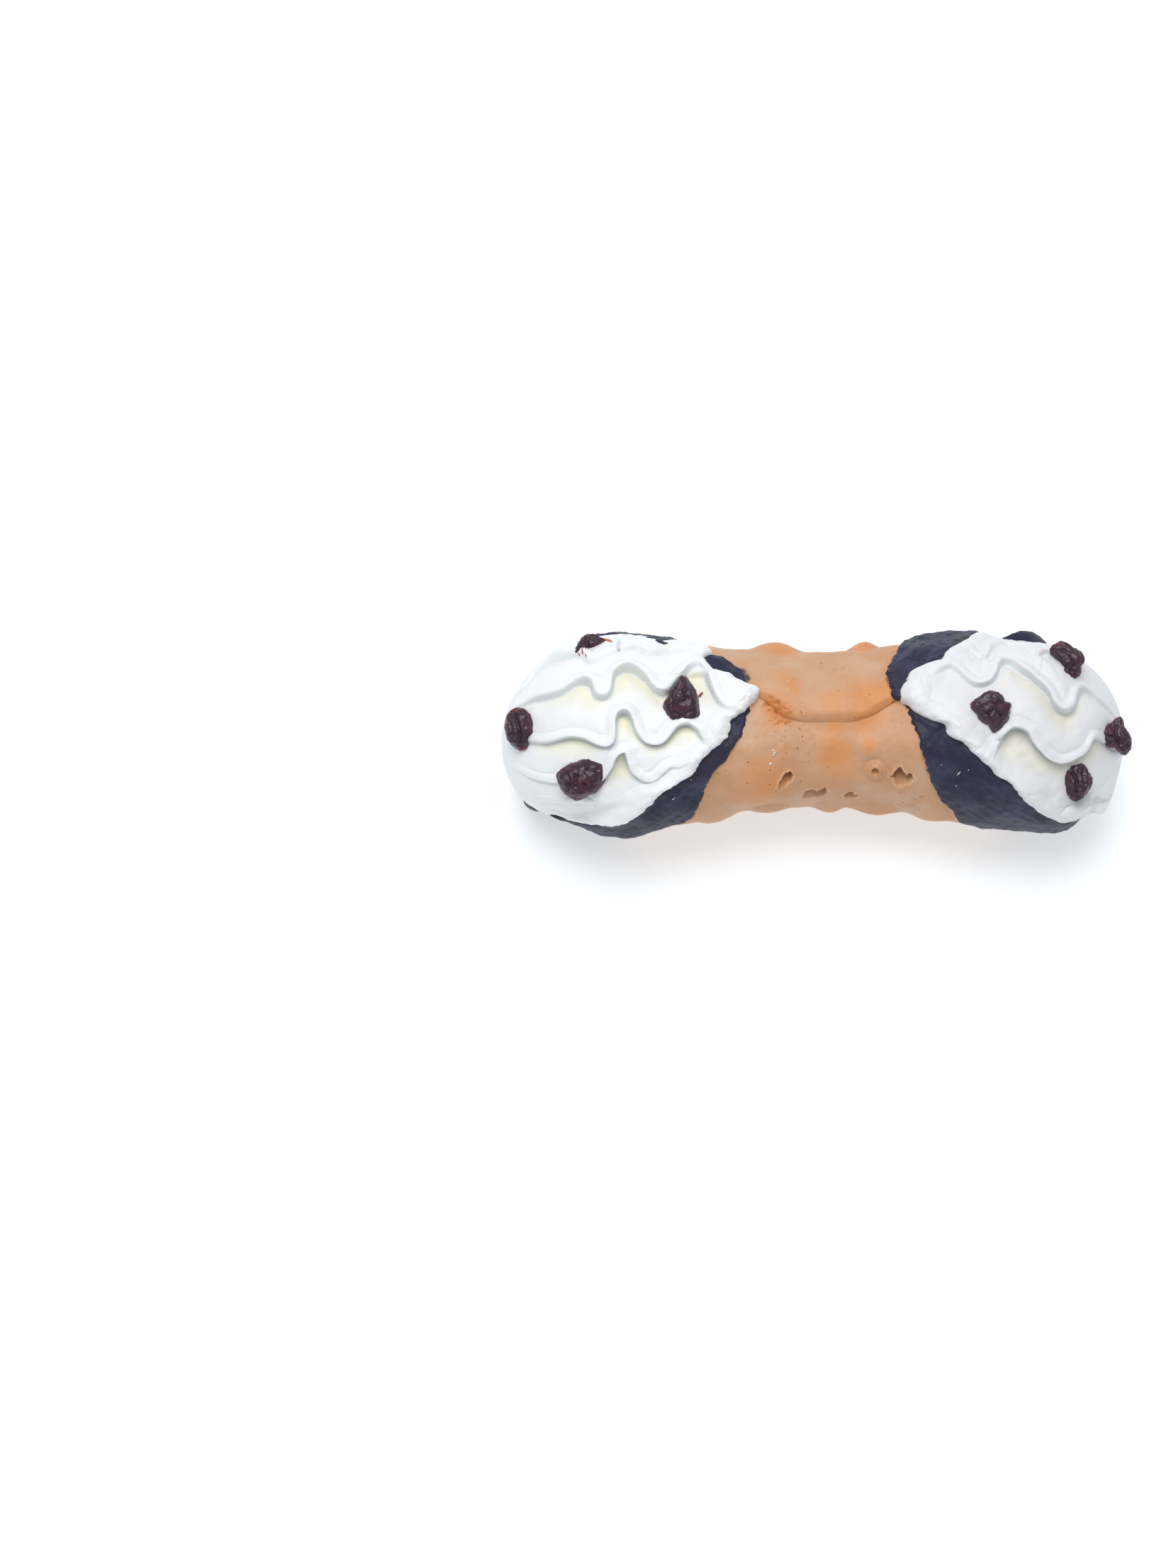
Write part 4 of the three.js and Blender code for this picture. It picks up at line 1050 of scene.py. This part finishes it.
def add_cherry(number, lift, outline, folds):
    """A wrinkled cherry with its outline in the view, in the middle of its solid's depth."""
    node = f"cherry_{number}"
    seed = CHERRY_SEED + number * 7
    unit, faces = unit_ball()
    reach, middle = outline_reach(outline, np.degrees(np.arctan2(unit[:, 1], unit[:, 0])))
    low, high = (np.array(corner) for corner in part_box(node))
    front = float(((low + high) / 2 / MM - TUBE_PLACE) @ BACK) + lift
    nearer = 1 - front / VIEW_DISTANCE
    flat = unit[:, :2] * reach[:, None]
    thick = CHERRY_DEPTH * reach.mean() * nearer
    relief = CHERRY_DENTS[0] * ripple(unit, CHERRY_DENTS[1], seed)
    for step, (height, size) in enumerate(CHERRY_WRINKLES, start=1):
        relief -= height * np.abs(ripple(unit, size, seed + step))
    relief -= relief.mean()
    fold = fold_share(flat + middle, folds) * smooth(unit[:, 2] / 0.4)
    relief -= FOLD_DEPTH * fold
    body = from_view(flat[:, :1] * nearer, flat[:, 1:] * nearer, unit[:, 2:] * thick)
    body *= 1 + relief[:, None] / thick
    start = from_view(*(AXIS + (middle - AXIS) * nearer), front)
    # painted light: a band round the outline as seen, on the side facing the camera, painted red as
    # light shining through the thin rim
    edge = smooth((np.hypot(unit[:, 0], unit[:, 1]) - 0.93) / 0.07) * smooth(unit[:, 2] / 0.1)
    # the folds are also painted darker in the colour, as shade
    paints = {"fold": fold, "edge": edge}
    mesh = build_mesh("candied_" + node, body + start, [faces], paints)
    add_piece(mesh, cherry_material(), "cherry", node)


# ---- juice, a drop and crumbs ----


def seen_point(obj, across, up):
    """Where a place in the view lies on an object, in tube millimetres, or None."""
    eye = from_view(*AXIS, VIEW_DISTANCE)
    ahead = from_view(across, up, 0) - eye
    hit, place, _, _ = obj.ray_cast(Vector((eye + TUBE_PLACE) * MM), Vector(ahead).normalized())
    return np.array(place) / MM - TUBE_PLACE if hit else None


def add_streak(name, under, start, end, width, height, fluid):
    """A thin streak or a drop that lies on the piece under it."""
    first, last = (seen_point(under, *place) for place in (start, end))
    spots = mix(first, last, np.linspace(0, 1, 24)[:, None]) + BACK * width * STREAK_LIFT
    along = np.gradient(spots, axis=0)
    along /= np.linalg.norm(along, axis=1)[:, None]
    beside = np.cross(along, BACK)
    place = np.linspace(0, 1, len(spots))[:, None, None]
    grow = np.sqrt(np.clip(1 - (2 * place - 1) ** 4, 0.02, 1))
    turn = np.linspace(0, 2 * np.pi, 16, endpoint=False)[None, :, None]
    ring = np.cos(turn) * beside[:, None] * width / 2 + np.sin(turn) * BACK * height
    mesh = build_mesh(name, *closed_body(spots[:, None] + ring * grow))
    add_piece(mesh, fluid_material(fluid), FLUIDS[fluid][0])


def add_crumbs(surfaces):
    """The crumbs as one piece, each on the nearest surface that is seen in its place."""
    turn = np.linspace(0, 2 * np.pi, 12, endpoint=False)
    rise = np.linspace(-1.4, 1.4, 7)[:, None]
    round_ball = np.stack([
        np.cos(turn) * np.cos(rise), np.sin(turn) * np.cos(rise), np.sin(rise) + 0 * turn
    ], axis=-1)
    bodies = []
    for number, (across, up, size) in enumerate(CRUMBS):
        spots = [seen_point(obj, across, up) for obj in surfaces]
        spot = max((spot for spot in spots if spot is not None), key=lambda spot: spot @ BACK)
        lumps = CRUMB_LUMPS[0] * ripple(round_ball, CRUMB_LUMPS[1], CRUMB_SEED + number)
        ball = round_ball * size / 2 * (1 + lumps[..., None])
        bodies.append(closed_body(ball + spot + BACK * size * CRUMB_LIFT))
    mesh = build_mesh("cream_crumbs", *joined(bodies))
    add_piece(mesh, cream_material(), "whipped_cream")


# ---- materials ----


def srgb(rim_glow, green, blue):
    """A colour given as 8-bit sRGB, in linear light."""
    def linear(value):
        value /= 255
        return value / 12.92 if value <= 0.04045 else ((value + 0.055) / 1.055) ** 2.4
    return (linear(rim_glow), linear(green), linear(blue), 1.0)


class Shader:
    """A node material with short ways to add and join nodes."""

    def __init__(self, name):
        self.material = bpy.data.materials.new(name)
        self.material.use_nodes = True
        self.tree = self.material.node_tree
        self.surface = self.tree.nodes["Principled BSDF"]
        self.coordinates = self.add("ShaderNodeTexCoord", {}, "Object")

    def put(self, value, socket):
        """Joins a socket to another, or sets it to a value."""
        if isinstance(value, bpy.types.NodeSocket):
            self.tree.links.new(value, socket)
        else:
            socket.default_value = value

    def add(self, kind, inputs, output=0, **settings):
        """Adds a node with its inputs and settings, and gives one of its outputs."""
        node = self.tree.nodes.new(kind)
        for key, value in settings.items():
            setattr(node, key, value)
        for key, value in inputs.items():
            self.put(value, node.inputs[key])
        return node.outputs[output]

    def noise(self, scale, detail=3.0, roughness=0.55):
        return self.add("ShaderNodeTexNoise", {
            "Vector": self.coordinates, "Scale": scale, "Detail": detail, "Roughness": roughness
        })

    def attribute(self, name):
        return self.add("ShaderNodeAttribute", {}, "Fac", attribute_name=name)

    def ramp(self, source, low, high, to_low=0.0, to_high=1.0):
        return self.add("ShaderNodeMapRange", {
            "Value": source, "From Min": low, "From Max": high, "To Min": to_low, "To Max": to_high
        }, interpolation_type="SMOOTHSTEP")

    def product(self, a, b):
        return self.add("ShaderNodeMath", {0: a, 1: b}, operation="MULTIPLY")

    def layers(self, base, *coats):
        """A base colour, or a socket that gives one, under coats of (share, colour)."""
        for share, colour in coats:
            base = self.add("ShaderNodeMix", {0: share, 6: base, 7: colour}, 2, data_type="RGBA")
        return base

    def bump(self, height, distance, strength, **after):
        return self.add("ShaderNodeBump", {
            "Strength": strength, "Distance": distance, "Height": height, **after
        })

    def finish(self, **sockets):
        for key, value in sockets.items():
            self.put(value, self.surface.inputs[key.replace("_", " ")])
        return self.material


def dough_material():
    s = Shader("fried_dough")
    tan, pale, gold = srgb(200, 150, 110), srgb(205, 164, 132), srgb(224, 182, 142)
    orange, rust, brown = srgb(214, 144, 86), srgb(200, 116, 52), srgb(156, 100, 58)
    umber, sienna, smoke = srgb(104, 66, 50), srgb(150, 78, 38), srgb(58, 48, 58)
    dots = s.ramp(s.noise(2200, 1.0), 0.66, 0.74)
    patches = s.ramp(s.attribute("fleck"), 0.1, 0.7, 0.12, 1.0)
    smear = s.product(s.attribute("smear"), s.ramp(s.noise(700, 3), 0.35, 0.6, 0.5, 1.3))
    colour = s.layers(
        tan,
        (s.ramp(s.noise(90, 4), 0.4, 0.65), pale),
        (s.ramp(s.attribute("blister"), 0.25, 1.6, 0.0, 0.5), orange),
        (s.ramp(s.attribute("flap"), 0.1, 1.0, 0.0, 0.6), orange),
        (s.ramp(s.attribute("warm"), 0.0, 1.1, 0.0, 0.9), orange),
        (s.ramp(s.noise(240, 5, 0.6), 0.5, 0.75, 0.0, 0.3), orange),
        (s.ramp(s.attribute("crack"), 0.1, 1.0, 0.0, 0.5), rust),
        (s.ramp(s.attribute("curl"), 0.05, 0.25, 0.0, 0.6), gold),
        (s.ramp(s.attribute("burst"), 0.15, 1.3, 0.0, 0.75), brown),
        (s.product(dots, patches), umber),
        (s.ramp(s.noise(900, 1.0), 0.755, 0.79), sienna),
        (s.ramp(smear, 0.15, 0.95, 0.0, 0.92), smoke),
    )
    grain = s.bump(s.noise(900, 4, 0.6), 0.0002, 0.5)
    grain = s.bump(s.noise(3500, 2), 0.00006, 0.5, Normal=grain)
    return s.finish(Base_Color=colour, Normal=grain, Roughness=0.55, Subsurface_Weight=0.06,
                    Subsurface_Scale=0.003)


@cache
def chocolate_material():
    s = Shader("dark_chocolate")
    # The blue in these colours is painted reflection of the sky, over the chocolate's own
    # brown-black.
    colour = s.layers(
        srgb(34, 37, 60),
        (s.ramp(s.noise(160, 4), 0.4, 0.7), srgb(52, 55, 80)),
        (s.ramp(s.noise(70, 3), 0.5, 0.7, 0.0, 0.6), srgb(48, 34, 50)),
        (s.ramp(s.noise(1500, 2), 0.7, 0.78, 0.0, 0.7), srgb(125, 126, 145)),
    )
    grain = s.bump(s.noise(900, 4, 0.65), 0.0003, 0.8)
    return s.finish(Base_Color=colour, Normal=grain, Roughness=0.5, Specular_IOR_Level=0.35)


@cache
def cream_material():
    s = Shader("whipped_cream")
    # painted shade: the whole right end is painted greyer, as less light falls on it
    painted_end_shade = s.attribute("painted_end_shade")
    white = s.layers(srgb(239, 241, 243), (painted_end_shade, srgb(229, 230, 234)))
    # painted shade and warm glow in the hollows: a darker, yellower white, stronger where a hollow
    # is deeper
    hollow_shade = s.layers(srgb(236, 232, 205), (painted_end_shade, srgb(226, 223, 210)))
    colour = s.layers(
        white,
        (s.ramp(s.attribute("hollow"), 0.6, 2.8, 0.0, 0.95), hollow_shade),
        # painted shade: a bluish-grey band under each crest
        (s.ramp(s.attribute("painted_shade"), 0.1, 0.9, 0.0, 0.8), srgb(220, 225, 230)),
    )
    grain = s.bump(s.noise(700, 4, 0.6), 0.00012, 0.4)
    return s.finish(Base_Color=colour, Normal=grain, Roughness=0.45, Subsurface_Weight=0.12,
                    Subsurface_Scale=0.0015, Specular_IOR_Level=0.3)


@cache
def cherry_material():
    s = Shader("candied_cherry")
    plum, wine, dark, rim_glow = srgb(54, 28, 44), srgb(86, 34, 46), srgb(40, 20, 34), srgb(140, 26, 30)
    colour = s.layers(
        plum,
        (s.ramp(s.noise(260, 3), 0.5, 0.7, 0.0, 0.6), wine),
        # painted shade in the folds
        (s.ramp(s.attribute("fold"), 0.4, 1.0, 0.0, 0.5), dark),
        # painted light shining through the rim
        (s.product(s.attribute("edge"), s.ramp(s.noise(330, 3), 0.46, 0.6)), rim_glow),
    )
    grain = s.bump(s.noise(1300, 4), 0.0003, 0.6)
    return s.finish(Base_Color=colour, Normal=grain, Roughness=0.33, Specular_IOR_Level=0.5)


@cache
def fluid_material(fluid):
    _, colour, roughness, coat = FLUIDS[fluid]
    s = Shader(fluid)
    return s.finish(Base_Color=srgb(*colour), Roughness=roughness, Coat_Weight=coat)


# ---- stage, light and camera ----

LENS = 85.0
SENSOR = 36.0
FLOOR_REACH = 3.0  # metres
FLOOR_GLOW = 0.52
SKY_COLOUR = (0.97, 0.985, 1.0, 1.0)
SKY_STRENGTH = 0.5
KEY_PLACE = (-0.1, 0.16, 0.9)
KEY_SIZE = 0.6
KEY_POWER = 5.5


def add_camera():
    distance = PHOTO_SIZE[1] * MM_PER_PIXEL * LENS / SENSOR
    data = bpy.data.cameras.new("camera")
    data.lens = LENS
    data.sensor_width = SENSOR
    data.clip_start = 0.01
    camera = add_object("camera", data)
    camera.location = Vector(TUBE_PLACE + from_view(*AXIS, distance)) * MM
    camera.rotation_euler = (math.radians(90 - VIEW_TILT), 0, 0)
    bpy.context.scene.camera = camera


def add_floor():
    mesh = bpy.data.meshes.new("floor")
    corners = [(-1, -1), (1, -1), (1, 1), (-1, 1)]
    mesh.from_pydata([(x * FLOOR_REACH, y * FLOOR_REACH, 0) for x, y in corners], [], [range(4)])
    mesh.materials.append(Shader("floor").finish(
        Base_Color=srgb(200, 207, 213), Roughness=0.9, Specular_IOR_Level=0.1,
        Emission_Color=(1.0, 1.0, 1.0, 1.0), Emission_Strength=FLOOR_GLOW))
    add_object("floor", mesh)


def add_lights():
    world = bpy.data.worlds.new("studio")
    world.use_nodes = True
    sky = world.node_tree.nodes["Background"]
    sky.inputs["Color"].default_value = SKY_COLOUR
    sky.inputs["Strength"].default_value = SKY_STRENGTH
    bpy.context.scene.world = world
    data = bpy.data.lights.new("key", "AREA")
    data.shape = "DISK"
    data.size = KEY_SIZE
    data.energy = KEY_POWER
    light = add_object("key", data)
    light.location = KEY_PLACE
    light.rotation_euler = (-Vector(KEY_PLACE)).to_track_quat("-Z", "Y").to_euler()


bpy.context.scene.view_settings.view_transform = "Standard"
add_camera()
add_floor()
add_lights()
dough = add_dough()
coats = [add_chocolate(end_name) for end_name in CREAM_ENDS]
cream = add_cream()
for number, cherry in CHERRIES.items():
    add_cherry(number, *cherry)
for name, streak in STREAKS.items():
    add_streak(name, cream, *streak)
add_crumbs([dough] + coats)
